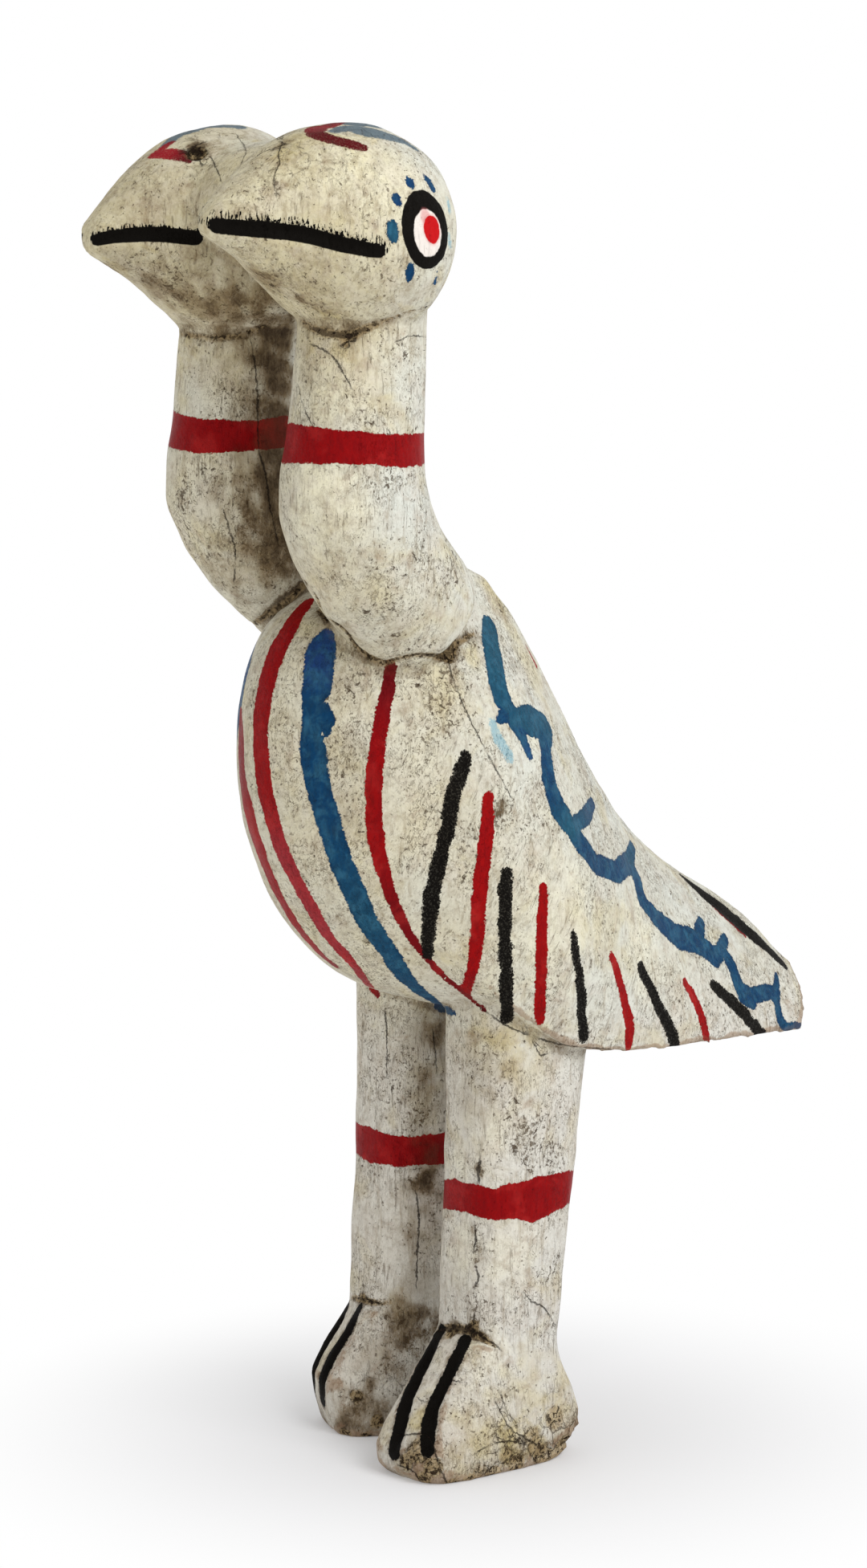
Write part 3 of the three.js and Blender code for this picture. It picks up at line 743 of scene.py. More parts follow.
# The crown marks
# On top of each head a wine-red V opens backwards from the brow, with a blue-grey patch between its
# arms. What the photograph shows is given in pixels; the hidden parts of the blue are rows of
# (X mm, Y mm, width mm, shade), seen from above.
CROWN_RED = [
    [(390, 166, 7, 0.1), (402, 170, 7, 0.0), (420, 175, 6, 0.0), (438, 180, 5.6, 0.0),
     (452, 184, 4.6, 0.0)],
    [(392, 165, 9, 0.2), (397, 159, 12, 0.4), (408, 157, 10, 0.4), (422, 152, 7, 0.3)],
    [(192, 193, 6, 0.9), (202, 191, 8, 0.8), (214, 192, 8, 0.5), (227, 195, 6.6, 0.2),
     (235, 200, 4, 0.0)],
    [(200, 187, 5, 0.8), (206, 182, 5, 0.6), (212, 178, 4, 0.4)],
]
CROWN_BLUE_SEEN = [
    [(418, 163, 6, 0.5), (433, 160, 11, 0.5), (455, 163, 13, 0.5), (476, 167, 11, 0.4),
     (498, 174, 8, 0.4), (516, 184, 5, 0.3)],
    [(205, 181, 5, 0.6), (215, 173, 8, 0.6), (228, 165, 9, 0.5), (247, 160, 8, 0.5), (270, 157, 7, 0.4),
     (300, 158, 6, 0.3)],
]
CROWN_BLUE_HIDDEN = [
    [(52, -104, 18, 0.5), (52, -94, 16, 0.4), (51, -82, 8, 0.4)],
    [(-50, -125, 12, 0.5), (-50, -100, 18, 0.5), (-50, -84, 10, 0.4)],
]
FROM_ABOVE = Matrix.Translation((0, 0, 0.7))

crown_red, crown_red_shade = distance_to(laid_on(CROWN_RED))
crown_blue, _ = distance_to(
    np.vstack([laid_on(CROWN_BLUE_SEEN), laid_from(FROM_ABOVE, CROWN_BLUE_HIDDEN)])
)
keep("crown_red", crown_red)
keep("crown_red_shade", crown_red_shade)
keep("crown_blue", crown_blue)


# The cracks
# Cracks that opened along the grain as the log dried, and finer ones through the paint on top, all
# filled with dirt, and one dark line under the near wing's lower edge that is painted shadow and dirt.
# Rows are (pixel x, pixel y, width mm).
CRACKS = [
    [(350, 164, 0.3), (352, 176, 0.9), (347, 190, 0.9), (348, 203, 0.7), (341, 221, 0.6),
     (343, 240, 0.3)],
    [(352, 180, 0.6), (338, 186, 0.5), (326, 190, 0.4), (313, 200, 0.2)],
    [(352, 179, 0.6), (362, 180, 0.5), (374, 184, 0.2)],
    [(340, 168, 0.2), (348, 176, 0.5)],
    [(259, 190, 0.5), (266, 202, 0.7), (275, 223, 0.4)],
    [(296, 170, 0.3), (306, 187, 0.5), (300, 205, 0.3)],
    [(236, 189, 4), (243, 189, 6), (250, 192, 4)],
    [(240, 184, 3), (247, 180, 2)],
    [(246, 196, 3), (250, 203, 1.5)],
    [(390, 430, 0.3), (400, 434, 0.6), (413, 443, 0.8), (424, 458, 0.7), (435, 478, 0.4)],
    [(373, 486, 0.4), (377, 503, 0.7), (388, 527, 0.5)],
    [(498, 424, 0.3), (512, 418, 0.5), (530, 420, 0.3)],
    [(430, 428, 0.9), (442, 424, 1.4), (436, 430, 0.7)],
    [(314, 430, 0.4), (317, 450, 0.8), (320, 483, 0.9), (321, 514, 0.8), (322, 560, 0.5)],
    [(322, 563, 0.8), (328, 580, 1.2), (333, 602, 1.3), (337, 634, 0.8), (345, 670, 0.5)],
    [(280, 640, 0.3), (286, 662, 0.7), (293, 685, 0.8), (292, 722, 0.4)],
    [(557, 818, 0.7), (562, 838, 0.6), (567, 853, 0.6), (584, 893, 0.6), (607, 938, 0.5),
     (634, 988, 0.5)],
    [(480, 1264, 0.7), (482, 1290, 1.0), (482, 1338, 0.5)],
    [(540, 1290, 0.8), (542, 1310, 1.0), (544, 1330, 0.5)],
    [(519, 1490, 0.6), (522, 1520, 1.0), (520, 1560, 1.2), (519, 1598, 0.6)],
    [(591, 1638, 0.4), (588, 1660, 1.2)],
    [(597, 1449, 1.6), (596, 1458, 3.0), (596, 1467, 1.6)],
    [(592, 1531, 0.8), (593, 1542, 2.2), (591, 1552, 0.8)],
    [(594, 1583, 0.8), (596, 1592, 2.6), (593, 1600, 0.8)],
    # A dark line under the near wing's lower edge: painted shadow of its overhang, and dirt.
    [(600, 1256, 0.5), (640, 1282, 0.8), (700, 1301, 0.8), (760, 1307, 0.4)],
    [(656, 1614, 0.6), (663, 1622, 0.9), (677, 1628, 0.8), (690, 1648, 0.4)],
    [(585, 1655, 1.0), (600, 1664, 1.1), (618, 1676, 0.5)],
    [(620, 1752, 0.4), (635, 1778, 0.6), (652, 1790, 0.8), (664, 1797, 1.2)],
    [(599, 1806, 0.4), (618, 1797, 0.6), (636, 1795, 0.7), (652, 1799, 0.7)],
    [(626, 1742, 0.3), (632, 1760, 0.5), (640, 1768, 0.4)],
    [(502, 1788, 1.0), (520, 1786, 0.9), (534, 1790, 0.8), (541, 1806, 0.9), (548, 1828, 0.8),
     (556, 1846, 0.6)],
    [(500, 1826, 0.6), (514, 1832, 0.9), (522, 1843, 0.8)],
    [(568, 1720, 0.5), (576, 1722, 0.4)],
    [(522, 1742, 0.4), (530, 1746, 0.5), (538, 1742, 0.3)],
    [(656, 1280, 0.3), (672, 1313, 0.5), (678, 1314, 0.3)],
]
CRACK_CORE = 0.8
CRACK_REACH = 3.0
CRACK_MARGIN = 2
NEXT_RUN = 0.003

crack_samples = laid_on(CRACKS)
crack_ahead = np.roll(crack_samples[:, :3], -1, axis=0) - crack_samples[:, :3]
crack_finder = sorted_by_place(crack_samples)
crack, _ = distance_to(crack_samples)
crack_side = np.full(len(points), CRACK_REACH)
crack_width = np.zeros(len(points))
for i in np.nonzero(crack < CRACK_REACH + CRACK_MARGIN)[0]:
    nearest = crack_finder.find(points[i])[1]
    row = crack_samples[nearest]
    ahead = crack_ahead[nearest]
    if np.linalg.norm(ahead) > NEXT_RUN:
        ahead = crack_ahead[nearest - 1]
    across = np.cross(ahead, row[3:6])
    across /= max(np.linalg.norm(across), NOT_ZERO)
    crack_side[i] = (points[i] - row[:3]) @ across * MM
    crack_width[i] = row[6]
keep("crack_side", crack_side)
keep("crack_width", crack_width)
keep("crack_near", 1 - soft_step(CRACK_CORE, CRACK_REACH, crack))


# Dirt, stains, wear and painted shade
# Brown grime lies in the hollows, between the necks and around the ankles, and handling has rubbed
# the rest unevenly. The same spots also paint shade under the jaws and between the necks. Spots are
# (pixel x, pixel y, radius mm, strength).
GRIME_AND_SHADE = [
    (505, 1660, 11, 1.0), (520, 1640, 8, 0.8), (436, 1755, 5, 0.8), (434, 1772, 5, 0.7),
    (462, 1722, 5, 0.8), (447, 1776, 8, 0.5), (545, 1652, 6, 0.9), (566, 1655, 6, 0.9),
    (590, 1662, 6, 0.8), (592, 1640, 4, 0.7), (512, 1812, 11, 0.6), (528, 1825, 10, 0.55),
    (538, 1838, 8, 0.55), (555, 1846, 6, 0.5), (712, 1780, 9, 0.5), (490, 1838, 7, 0.5),
    (447, 1660, 5, 0.4), (450, 1745, 9, 0.5), (495, 1690, 10, 0.5), (480, 1760, 8, 0.5),
    (695, 1795, 6, 0.4), (664, 1802, 6, 0.4), (640, 1812, 8, 0.3), (690, 1765, 9, 0.2),
    (336, 600, 14, 1.0), (342, 520, 13, 0.95), (340, 450, 14, 1.0), (325, 660, 17, 0.85),
    (338, 560, 12, 1.0), (338, 640, 12, 1.0), (344, 480, 12, 1.0), (344, 420, 12, 1.0),
    (300, 400, 10, 0.7), (270, 370, 12, 0.5), (310, 450, 7, 0.6), (305, 500, 8, 0.4), (250, 430, 7, 0.4),
    (230, 405, 9, 0.4), (220, 470, 5, 0.4), (262, 700, 7, 0.5), (300, 745, 9, 0.6), (225, 620, 7, 0.3),
    (342, 690, 12, 0.9), (300, 610, 8, 0.5), (272, 600, 5, 0.7), (345, 400, 12, 0.8), (320, 395, 10, 0.7),
    (433, 414, 9, 0.5), (250, 360, 13, 0.4), (290, 392, 12, 0.5), (200, 365, 5, 0.6), (132, 336, 9, 0.8),
    (215, 372, 10, 0.7), (262, 378, 10, 0.7), (300, 372, 8, 0.8), (190, 352, 8, 0.6), (160, 332, 7, 0.5),
    (362, 368, 8, 0.45), (398, 384, 8, 0.4), (620, 1760, 20, 0.25), (560, 1790, 10, 0.3),
    (410, 352, 6, 0.4), (240, 382, 8, 0.4), (330, 370, 6, 0.5), (380, 375, 5, 0.4), (455, 700, 11, 0.35),
    (500, 790, 12, 0.45), (480, 800, 7, 0.5), (560, 815, 9, 0.75), (448, 800, 7, 0.5),
    (590, 790, 10, 0.45), (626, 760, 6, 0.6), (625, 1008, 5, 0.9), (578, 1040, 8, 0.5),
    (548, 1075, 5, 0.4), (590, 1072, 7, 0.4), (588, 1145, 9, 0.35), (560, 1180, 6, 0.3),
    (600, 1330, 14, 0.3), (580, 1350, 12, 0.3), (545, 1290, 6, 0.7), (560, 1262, 6, 0.6),
    (530, 1470, 7, 1.0), (520, 1395, 8, 0.6), (535, 1440, 6, 0.6), (508, 1455, 6, 0.5),
    (510, 1530, 6, 0.5), (485, 1480, 4, 0.5), (528, 1346, 4, 0.7), (460, 1320, 7, 0.3),
    (700, 1300, 8, 0.3), (690, 1415, 7, 0.4), (452, 1614, 5, 0.7), (258, 190, 6, 0.9), (243, 190, 6, 1.5),
    (250, 187, 5, 1.3), (238, 196, 5, 0.9), (176, 200, 8, 0.4), (168, 230, 5, 0.4), (372, 372, 4, 0.9),
    (330, 345, 4, 0.7), (345, 340, 3, 0.6), (352, 180, 7, 0.8), (330, 205, 9, 0.3), (310, 190, 8, 0.35),
    (196, 262, 9, 0.35), (100, 285, 6, 0.4), (348, 205, 4, 0.5), (342, 230, 4, 0.4), (600, 1836, 7, 0.4),
    (642, 1815, 9, 0.35), (672, 1805, 8, 0.4), (560, 1846, 7, 0.5), (719, 1768, 6, 0.6),
    (714, 1790, 6, 0.6), (405, 1774, 5, 0.6), (430, 1786, 6, 0.7), (590, 1530, 3, 0.8),
    (594, 1572, 3, 0.8), (592, 1600, 3, 0.8), (596, 1458, 3, 0.9), (627, 1443, 3, 0.8),
    (655, 1425, 12, 0.35), (640, 1400, 8, 0.3), (430, 860, 14, 0.3), (440, 950, 14, 0.3),
    (560, 900, 16, 0.3), (540, 1010, 14, 0.3), (350, 900, 9, 0.3), (353, 980, 9, 0.3),
    (425, 1010, 12, 0.3), (520, 870, 12, 0.3),
]
# Broad brown painted shade and smoke stains on all that faces the other head, neck or leg, where that
# part shades it.
SMOKE_AND_SHADE = [
    (165, 345, 13, 0.45), (200, 362, 16, 0.65), (240, 376, 17, 0.8), (280, 386, 17, 0.95),
    (318, 378, 16, 1.0), (330, 350, 12, 0.9), (298, 330, 14, 0.55), (250, 335, 14, 0.5),
    (300, 270, 8, 0.4), (298, 230, 8, 0.3), (348, 410, 17, 1.0), (346, 450, 17, 1.0), (344, 490, 17, 1.0),
    (346, 560, 16, 1.0), (340, 600, 16, 1.0), (340, 650, 15, 1.0), (340, 700, 15, 0.9),
    (312, 440, 12, 0.8), (310, 490, 12, 0.7), (318, 580, 14, 0.75), (318, 640, 16, 0.8),
    (300, 690, 16, 0.7), (275, 720, 12, 0.5), (270, 610, 8, 0.45), (285, 650, 12, 0.5),
    (385, 470, 6, 0.35), (382, 430, 7, 0.4), (440, 425, 9, 0.4), (528, 1290, 10, 0.5),
    (530, 1350, 12, 0.55), (602, 1325, 20, 0.35), (582, 1360, 14, 0.3), (180, 250, 18, 0.3),
    (470, 345, 16, 0.2), (380, 360, 13, 0.45), (405, 388, 11, 0.4), (432, 398, 8, 0.3),
    (330, 300, 8, 0.3), (150, 320, 14, 0.35), (420, 860, 16, 0.25), (425, 930, 16, 0.25),
    (440, 1000, 16, 0.25), (534, 1440, 10, 0.7), (528, 1480, 12, 0.8), (524, 1540, 10, 0.6),
    (520, 1600, 10, 0.5), (470, 1690, 16, 0.5), (455, 1750, 16, 0.65), (500, 1640, 12, 0.7),
    (578, 1310, 10, 0.35), (400, 1760, 8, 0.4),
]
# Patches where the paint is still fresh.
FRESH = [
    (400, 600, 17, 1.0), (390, 650, 13, 1.0), (430, 640, 14, 0.6), (305, 245, 18, 0.5),
    (345, 255, 14, 0.4), (440, 205, 20, 0.7), (485, 230, 16, 0.7), (470, 330, 12, 0.4),
    (420, 500, 12, 0.5), (610, 1410, 14, 0.5), (575, 1440, 10, 0.5), (575, 1560, 12, 0.5),
    (640, 1570, 16, 0.4), (610, 1700, 14, 0.4), (650, 900, 16, 0.4), (700, 1150, 26, 0.5),
    (800, 1180, 20, 0.5), (420, 880, 8, 0.5),
]
# Where the paint is pitted and scuffed all over.
ROUGH = [
    (655, 1425, 14, 1.0), (690, 1440, 10, 0.9), (622, 1442, 8, 0.7), (640, 1395, 12, 0.6),
    (600, 1500, 8, 0.4), (596, 1560, 9, 0.8), (590, 1620, 9, 0.7), (680, 1590, 14, 0.5),
    (500, 1350, 14, 0.5), (530, 1540, 10, 0.7), (530, 640, 18, 0.7), (560, 700, 16, 0.7),
    (500, 590, 12, 0.6), (500, 480, 14, 0.5), (480, 760, 16, 0.5), (625, 1010, 9, 1.0),
    (585, 1060, 12, 0.6), (560, 1180, 14, 0.5), (440, 880, 12, 0.5), (560, 860, 14, 0.6),
    (230, 620, 14, 0.5), (235, 470, 12, 0.5), (470, 350, 14, 0.4), (330, 250, 14, 0.5),
    (210, 350, 12, 0.5), (640, 1790, 20, 0.5), (560, 1780, 12, 0.3), (480, 1740, 14, 0.5),
    (700, 1720, 12, 0.4),
]
# Where old varnish or smoke has yellowed the paint.
YELLOW = [
    (352, 192, 11, 0.9), (340, 215, 13, 0.5), (300, 235, 22, 0.35), (235, 260, 18, 0.5),
    (150, 345, 14, 0.5), (165, 270, 14, 0.4), (420, 250, 18, 0.3), (640, 1300, 16, 0.7),
    (600, 1290, 10, 0.7), (655, 1350, 14, 0.4), (640, 1790, 14, 1.0), (600, 1790, 16, 0.7),
    (655, 1740, 18, 0.5), (575, 1830, 12, 0.6), (670, 1800, 8, 1.0), (690, 1760, 12, 0.7),
    (700, 1720, 10, 0.6), (610, 1770, 14, 0.5), (525, 1765, 10, 0.8), (400, 510, 9, 0.4),
    (470, 740, 10, 0.4), (615, 738, 13, 0.7), (640, 790, 12, 0.4), (560, 870, 12, 0.5),
    (430, 790, 10, 0.4), (350, 800, 8, 0.3), (590, 820, 8, 0.6), (560, 345, 6, 0.5), (540, 355, 8, 0.4),
]
SPOT_RAGGED = 0.7
SPOT_DETAIL = 150
SPOT_SHAPE = np.array([1, 1, 0.75])
SPOT_FADE = (0.1, 1.25)
SPOT_END = 1.9
SKY_RAYS = 32
SHADE_REACH = 0.055
LIFT = 0.0006
LOWEST_RAY = 0.15
SHADE_ROUNDS = 3
HOLLOW_ROUNDS = 7
HOLLOW_MOST = 2


def spots_at(rows):
    """How strongly each point is covered by the given spots, whose outlines are ragged."""
    cover = np.zeros(len(points))
    for x, y, radius, strength in rows:
        place, _ = seen_at(x, y)
        reach = np.linalg.norm((points - place) * SPOT_SHAPE, axis=1) * MM / radius
        for i in np.nonzero(reach < SPOT_END)[0]:
            reach[i] += SPOT_RAGGED * cloudy.noise(Vector(points[i]) * SPOT_DETAIL)
        cover = np.maximum(cover, strength * (1 - soft_step(*SPOT_FADE, reach)))
    return cover


def even_directions(count):
    """Directions spread evenly over a sphere."""
    i = np.arange(count) + 0.5
    height = 1 - 2 * i / count
    sideways = np.sqrt(1 - height ** 2)
    angle = math.pi * (1 + 5 ** 0.5) * i
    return np.stack([sideways * np.cos(angle), sideways * np.sin(angle), height], 1)


# How shut in and how hollow each point is. The paint darkens with both: painted shade in the recesses,
# between the parts and under the jaws.
rays = even_directions(SKY_RAYS)
facing = normals @ rays.T
hidden = np.zeros(len(points))
total = np.maximum(np.where(facing > LOWEST_RAY, facing, 0).sum(1), NOT_ZERO)
starts = [Vector(row) for row in points + normals * LIFT]
ray_vectors = [Vector(ray) for ray in rays]
for j, ray in enumerate(ray_vectors):
    for i in np.nonzero(facing[:, j] > LOWEST_RAY)[0]:
        reach = skin.ray_cast(starts[i], ray, SHADE_REACH)[3]
        if reach is not None:
            hidden[i] += facing[i, j] * (1 - reach / SHADE_REACH)
shut_in = hidden / total
for _ in range(SHADE_ROUNDS):
    shut_in = neighbour_mean(shut_in, edges)
smooth = points.copy()
for _ in range(HOLLOW_ROUNDS):
    smooth = neighbour_mean(smooth, edges)
hollow = ((smooth - points) * normals).sum(1) * MM
keep("shut_in", shut_in)
keep("hollow", np.clip(hollow, -HOLLOW_MOST, HOLLOW_MOST))
for name, spots in (
    ("grime_and_shade", GRIME_AND_SHADE),
    ("yellow", YELLOW),
    ("smoke_and_shade", SMOKE_AND_SHADE),
    ("fresh", FRESH),
    ("rough", ROUGH),
):
    keep(name, spots_at(spots))


# The paint
# Thin cream household paint over bare wood, brushed on unevenly, scratched by the knife's marks under
# it, with the coloured strokes on top, then yellowed, cracked and dirty with age.
COOL_WHITE = (209, 211, 202)
CREAM = (210, 201, 172)
LEG_WHITE = (212, 208, 202)
FRESH_CREAM = (236, 230, 200)
BRIGHT_CREAM = (234, 231, 220)
ROSY_CREAM = (196, 184, 170)
OLD_YELLOW = (194, 176, 112)
# The next colour is dust, laid thicker on front-facing surfaces as painted shade.
DUST_AND_SHADE = (124, 104, 76)
MOTTLE = (138, 122, 92)
SCRATCH = (104, 88, 68)
CURL = (112, 99, 80)
BROAD_STREAK = (134, 114, 84)
SPECK = (82, 66, 48)
DIRT = (72, 56, 40)
# The next four colours are painted shade as well as smoke, grime and soot.
SMOKE_AND_SHADE_TINT = (176, 158, 128)
GRIME_AND_SHADE_FILM = (116, 96, 68)
GRIME_AND_SHADE_CLOT = (60, 46, 33)
SOOT_AND_SHADE = (62, 50, 38)
BARE_WOOD = (150, 122, 96)
GROOVE_DIRT = (84, 64, 44)
CRUMBLED_WOOD = (166, 143, 104)
DEEP_HOLE = (54, 40, 28)
FINE_CRACK = (58, 45, 32)
CREASE_DIRT = (50, 39, 29)
CRACK_DIRT = (34, 26, 20)
RED_BRIGHT = (150, 8, 10)
RED_WINE = (86, 8, 16)
RED_PINK = (160, 46, 52)
RED_THICK = (104, 6, 14)
RED_RUBBED_AND_SHEEN = (182, 44, 42)
BROW_DARK = (88, 16, 22)
BROW_RED = (150, 24, 34)
BLUE_TEAL = (30, 82, 104)
BLUE_DEEP = (10, 60, 98)
BLUE_BRIGHT = (34, 66, 120)
BLUE_THIN = (58, 112, 138)
BLUE_THICK = (26, 50, 68)
BLUE_RIM = (12, 44, 76)
BLUE_FAINT = (120, 170, 186)
BLUE_GREY = (80, 102, 116)
BLACK = (12, 9, 6)
EYE_WHITE = (226, 218, 210)
EYE_RED = (186, 18, 22)
EYE_PINK = (206, 120, 120)
# Heights in mm at which each part of the bird begins and at which it is in full.
HEADS = (470, 545)
CROWNS = (560, 590)
BODY_FROM_BELOW = (180, 200)
BODY_FROM_ABOVE = (410, 390)
WING_EDGES = (330, 230)
LEGS = (225, 165)
FEET = (44, 18)
SOLES = (36, 0)
# The same along Y in mm, away from the tips of the toes, and along X in mm, towards the left head.
BEHIND_TOES = (-64, -40)
LEFT_HEAD = (-8, 2)
FACING_FRONT = (0.35, -0.75)
BODY_SLANT = math.radians(28)
PAINT_GLOSS = 0.05
# How far a stroke's edge wanders in mm, where in mm from it the rims of thicker paint lie, and the
# span of cloudy values in which a dry brush leaves gaps.
EDGE_WANDER = 2.4
WET_RIM = (-1.6, -0.2)
RAISED_RIM = (-1.4, -0.4)
DRY_GAPS = (0.60, 0.52)


def from_srgb(colour):
    """A colour given as 0 to 255 in sRGB, as the linear colour that a material takes."""
    shares = [part / 255 for part in colour]
    linear = [part / 12.92 if part <= 0.04045 else ((part + 0.055) / 1.055) ** 2.4 for part in shares]
    return (*linear, 1)


def blend(share, below, above, mode="MIX"):
    """One colour laid over another by a share."""
    below, above = [part if is_socket(part) else from_srgb(part) for part in (below, above)]
    inputs = {0: share, 6: below, 7: above}
    return add_node("ShaderNodeMix", inputs, data_type="RGBA", blend_type=mode).outputs[2]


def lay_on(colour, coats, mode="MIX"):
    """A colour with coats of (mask, strength, colour) laid over it, one after another."""
    for mask, strength, coat in coats:
        share = mask if strength == 1 else times(mask, strength)
        colour = blend(share, colour, coat, mode)
    return colour


# The edge of a brush stroke: ragged where the paint dragged, with gaps where the brush was dry.
stroke_edge = bpy.data.node_groups.new("brush stroke", "ShaderNodeTree")
for name, kind, value in (
    ("Place", "NodeSocketVector", None),
    ("Distance", "NodeSocketFloat", 20),
    ("Raggedness", "NodeSocketFloat", 0.6),
    ("Softness", "NodeSocketFloat", 0.25),
    ("Dryness", "NodeSocketFloat", 0),
):
    socket = stroke_edge.interface.new_socket(name, in_out="INPUT", socket_type=kind)
    if value is not None:
        socket.default_value = value
for name in ("Mask", "Thickness"):
    stroke_edge.interface.new_socket(name, in_out="OUTPUT", socket_type="NodeSocketFloat")
given = stroke_edge.nodes.new("NodeGroupInput").outputs
wide = reckon("SUBTRACT", noise(given["Place"], 0.16, 2.0), 0.5)
fine = reckon("SUBTRACT", noise(given["Place"], 0.9, 3.0, 0.6), 0.5)
wander = times(reckon("ADD", wide, fine), given["Raggedness"])
edge = times_plus(wander, EDGE_WANDER, given["Distance"])
mask = between(edge, given["Softness"], times(given["Softness"], -1))
gaps = between(noise(given["Place"], 1.3, 4.0, 0.7), *DRY_GAPS)
gaps = times(rest(gaps), given["Dryness"])
rim = between(edge, *WET_RIM)
gaps = times(gaps, times_plus(rim, 0.75, 0.25))
mask = times(mask, rest(gaps))
lip = times_plus(between(edge, *RAISED_RIM), 0.5, 0.7)
handed_out = stroke_edge.nodes.new("NodeGroupOutput").inputs
stroke_edge.links.new(mask, handed_out["Mask"])
stroke_edge.links.new(times(mask, lip), handed_out["Thickness"])

paint.use_nodes = True
paint_tree = paint.node_tree
paint_tree.nodes.clear()
coordinates = paint_tree.nodes.new("ShaderNodeTexCoord").outputs["Object"]
place = add_node("ShaderNodeVectorMath", {0: coordinates, 3: MM}, operation="SCALE").outputs[0]


def stored(name, output=2):
    """A value that was stored on the carving."""
    return add_node("ShaderNodeAttribute", {}, paint_tree, attribute_name=name).outputs[output]


def clouds(scale, detail, roughness=0.5, twist=0.0, drawn_out=None):
    """Cloudy values about 0.5 in the paint, by their scale for each mm, detail, roughness and twist.

    An axis whose factor in drawn_out is below 1 draws them out along it.
    """
    where = reckon_vector("MULTIPLY", place, drawn_out) if drawn_out else place
    return noise(where, scale, detail, roughness, twist)


def stroke(distance, raggedness, softness, dryness=0.0):
    """The mask and the thickness of a brush stroke."""
    inputs = {"Place": place, "Distance": distance, "Raggedness": raggedness}
    inputs.update({"Softness": softness, "Dryness": dryness})
    return tuple(add_node("ShaderNodeGroup", inputs, node_tree=stroke_edge).outputs)


across_bird, along_bird, height = add_node("ShaderNodeSeparateXYZ", {0: place}).outputs
# Which way the surface faces; the cream below uses it for painted light and shade.
facing_back = add_node("ShaderNodeSeparateXYZ", {
    0: paint_tree.nodes.new("ShaderNodeNewGeometry").outputs["Normal"],
}).outputs[1]
frontness = between(facing_back, *FACING_FRONT)
headness = between(height, *HEADS)
grime_and_shade = stored("grime_and_shade")
smoke_and_shade = stored("smoke_and_shade")
fresh = stored("fresh")
rough = stored("rough")
hollow_here = stored("hollow")

# Cream, cloudy and thin in places. Cooler white on the flanks and back and a warmer, darker, more olive
# tone on surfaces that face the front are painted light and shade, set by which way the surface faces.
patch = clouds(0.09, 5.0, 0.65)
warm = times_plus(clouds(0.022, 3.0, 0.55), 1.5, -0.55)
warm = times_plus(frontness, 0.55, warm, clamp=True)
yellowed = times(stored("yellow"), between(patch, 0.18, 0.55))
old = between(clouds(0.035, 4.0, 0.6, 0.6), 0.50, 0.70)
old = times(old, times_plus(headness, 0.35, 0.4))
olive = times(headness, times_plus(frontness, 0.35, 0.1))
thin = between(clouds(0.085, 7.0, 0.74, 0.4), 0.52, 0.72)
bright = between(clouds(0.3, 5.0, 0.7), 0.3, 0.75)
rosy = between(clouds(0.075, 4.0, 0.6, 0.4), 0.46, 0.64)
dusty_and_shaded = between(clouds(0.17, 8.0, 0.8, 0.3), 0.45, 0.72)
dusty_and_shaded = times(dusty_and_shaded, times_plus(frontness, 0.22, 0.26))
mottled = between(clouds(0.11, 6.0, 0.72, 0.8), 0.50, 0.68)
mottled = times(mottled, times_plus(headness, 0.25, 0.24))

# Fine scratches: up the grain on the necks and legs, slanting across the body; then the curly marks
# of a dragging brush.
grain_lines = clouds(0.75, 5.0, 0.7, 0.3, (1, 1, 0.10))
slant = add_node("ShaderNodeMapping", {"Vector": place, "Rotation": (BODY_SLANT, 0, 0)})
slant = reckon_vector("MULTIPLY", slant.outputs[0], (0.6, 1, 0.14))
slant_lines = noise(slant, 0.8, 5.0, 0.7, 0.3)
on_body = times(between(height, *BODY_FROM_BELOW), between(height, *BODY_FROM_ABOVE))
lines = add_node("ShaderNodeMix", {0: on_body, 2: grain_lines, 3: slant_lines}).outputs[0]
worn_here = between(clouds(0.05, 3.0, 0.6), 0.34, 0.62)
scratch = between(lines, 0.55, 0.68)
scratch = times(scratch, times_plus(worn_here, 0.7, 0.3))
curl = clouds(0.34, 3.0, 0.6, 1.8, (1, 1, 0.45))
curl = between(reckon("ABSOLUTE", reckon("SUBTRACT", curl, 0.5)), 0.038, 0.008)
broken_up = between(clouds(0.42, 4.0, 0.65), 0.41, 0.52)
rubbed = between(clouds(0.045, 4.0, 0.6), 0.40, 0.58)
rubbed = times(rubbed, times_plus(fresh, -0.8, 1))
wriggle = times(curl, times_plus(rough, 0.4, broken_up, clamp=True))
wriggle = times(wriggle, most(rough, times_plus(rubbed, 0.65, 0.2)))
wriggle = times(wriggle, times_plus(headness, -0.45, 1))
broad_streaks = between(clouds(0.30, 5.0, 0.65, 0.3, (1, 1, 0.14)), 0.53, 0.68)

# Specks and pits, thicker where the spots of grime and painted shade lie.
speckled = times_plus(rubbed, 0.05, times(grime_and_shade, 0.08))
speckled = times_plus(rough, 0.065, speckled)
specks = between(reckon("ADD", clouds(0.55, 5.0, 0.62), speckled), 0.645, 0.70)
pits = between(reckon("ADD", clouds(0.24, 5.0, 0.62, 0.5), speckled), 0.70, 0.745)
ground = lay_on(blend(warm, COOL_WHITE, CREAM), [
    (between(height, *LEGS), 0.62, LEG_WHITE),
    (most(yellowed, old, olive), 0.9, OLD_YELLOW),
    (fresh, 0.8, FRESH_CREAM),
    (thin, 0.50, BARE_WOOD),
    (bright, 0.22, BRIGHT_CREAM),
    (rosy, 0.22, ROSY_CREAM),
    (dusty_and_shaded, 1, DUST_AND_SHADE),
    (mottled, 1, MOTTLE),
    (scratch, 0.62, SCRATCH),
    (wriggle, 0.74, CURL),
    (broad_streaks, 0.34, BROAD_STREAK),
    (specks, 0.72, SPECK),
    (pits, 0.85, DIRT),
])

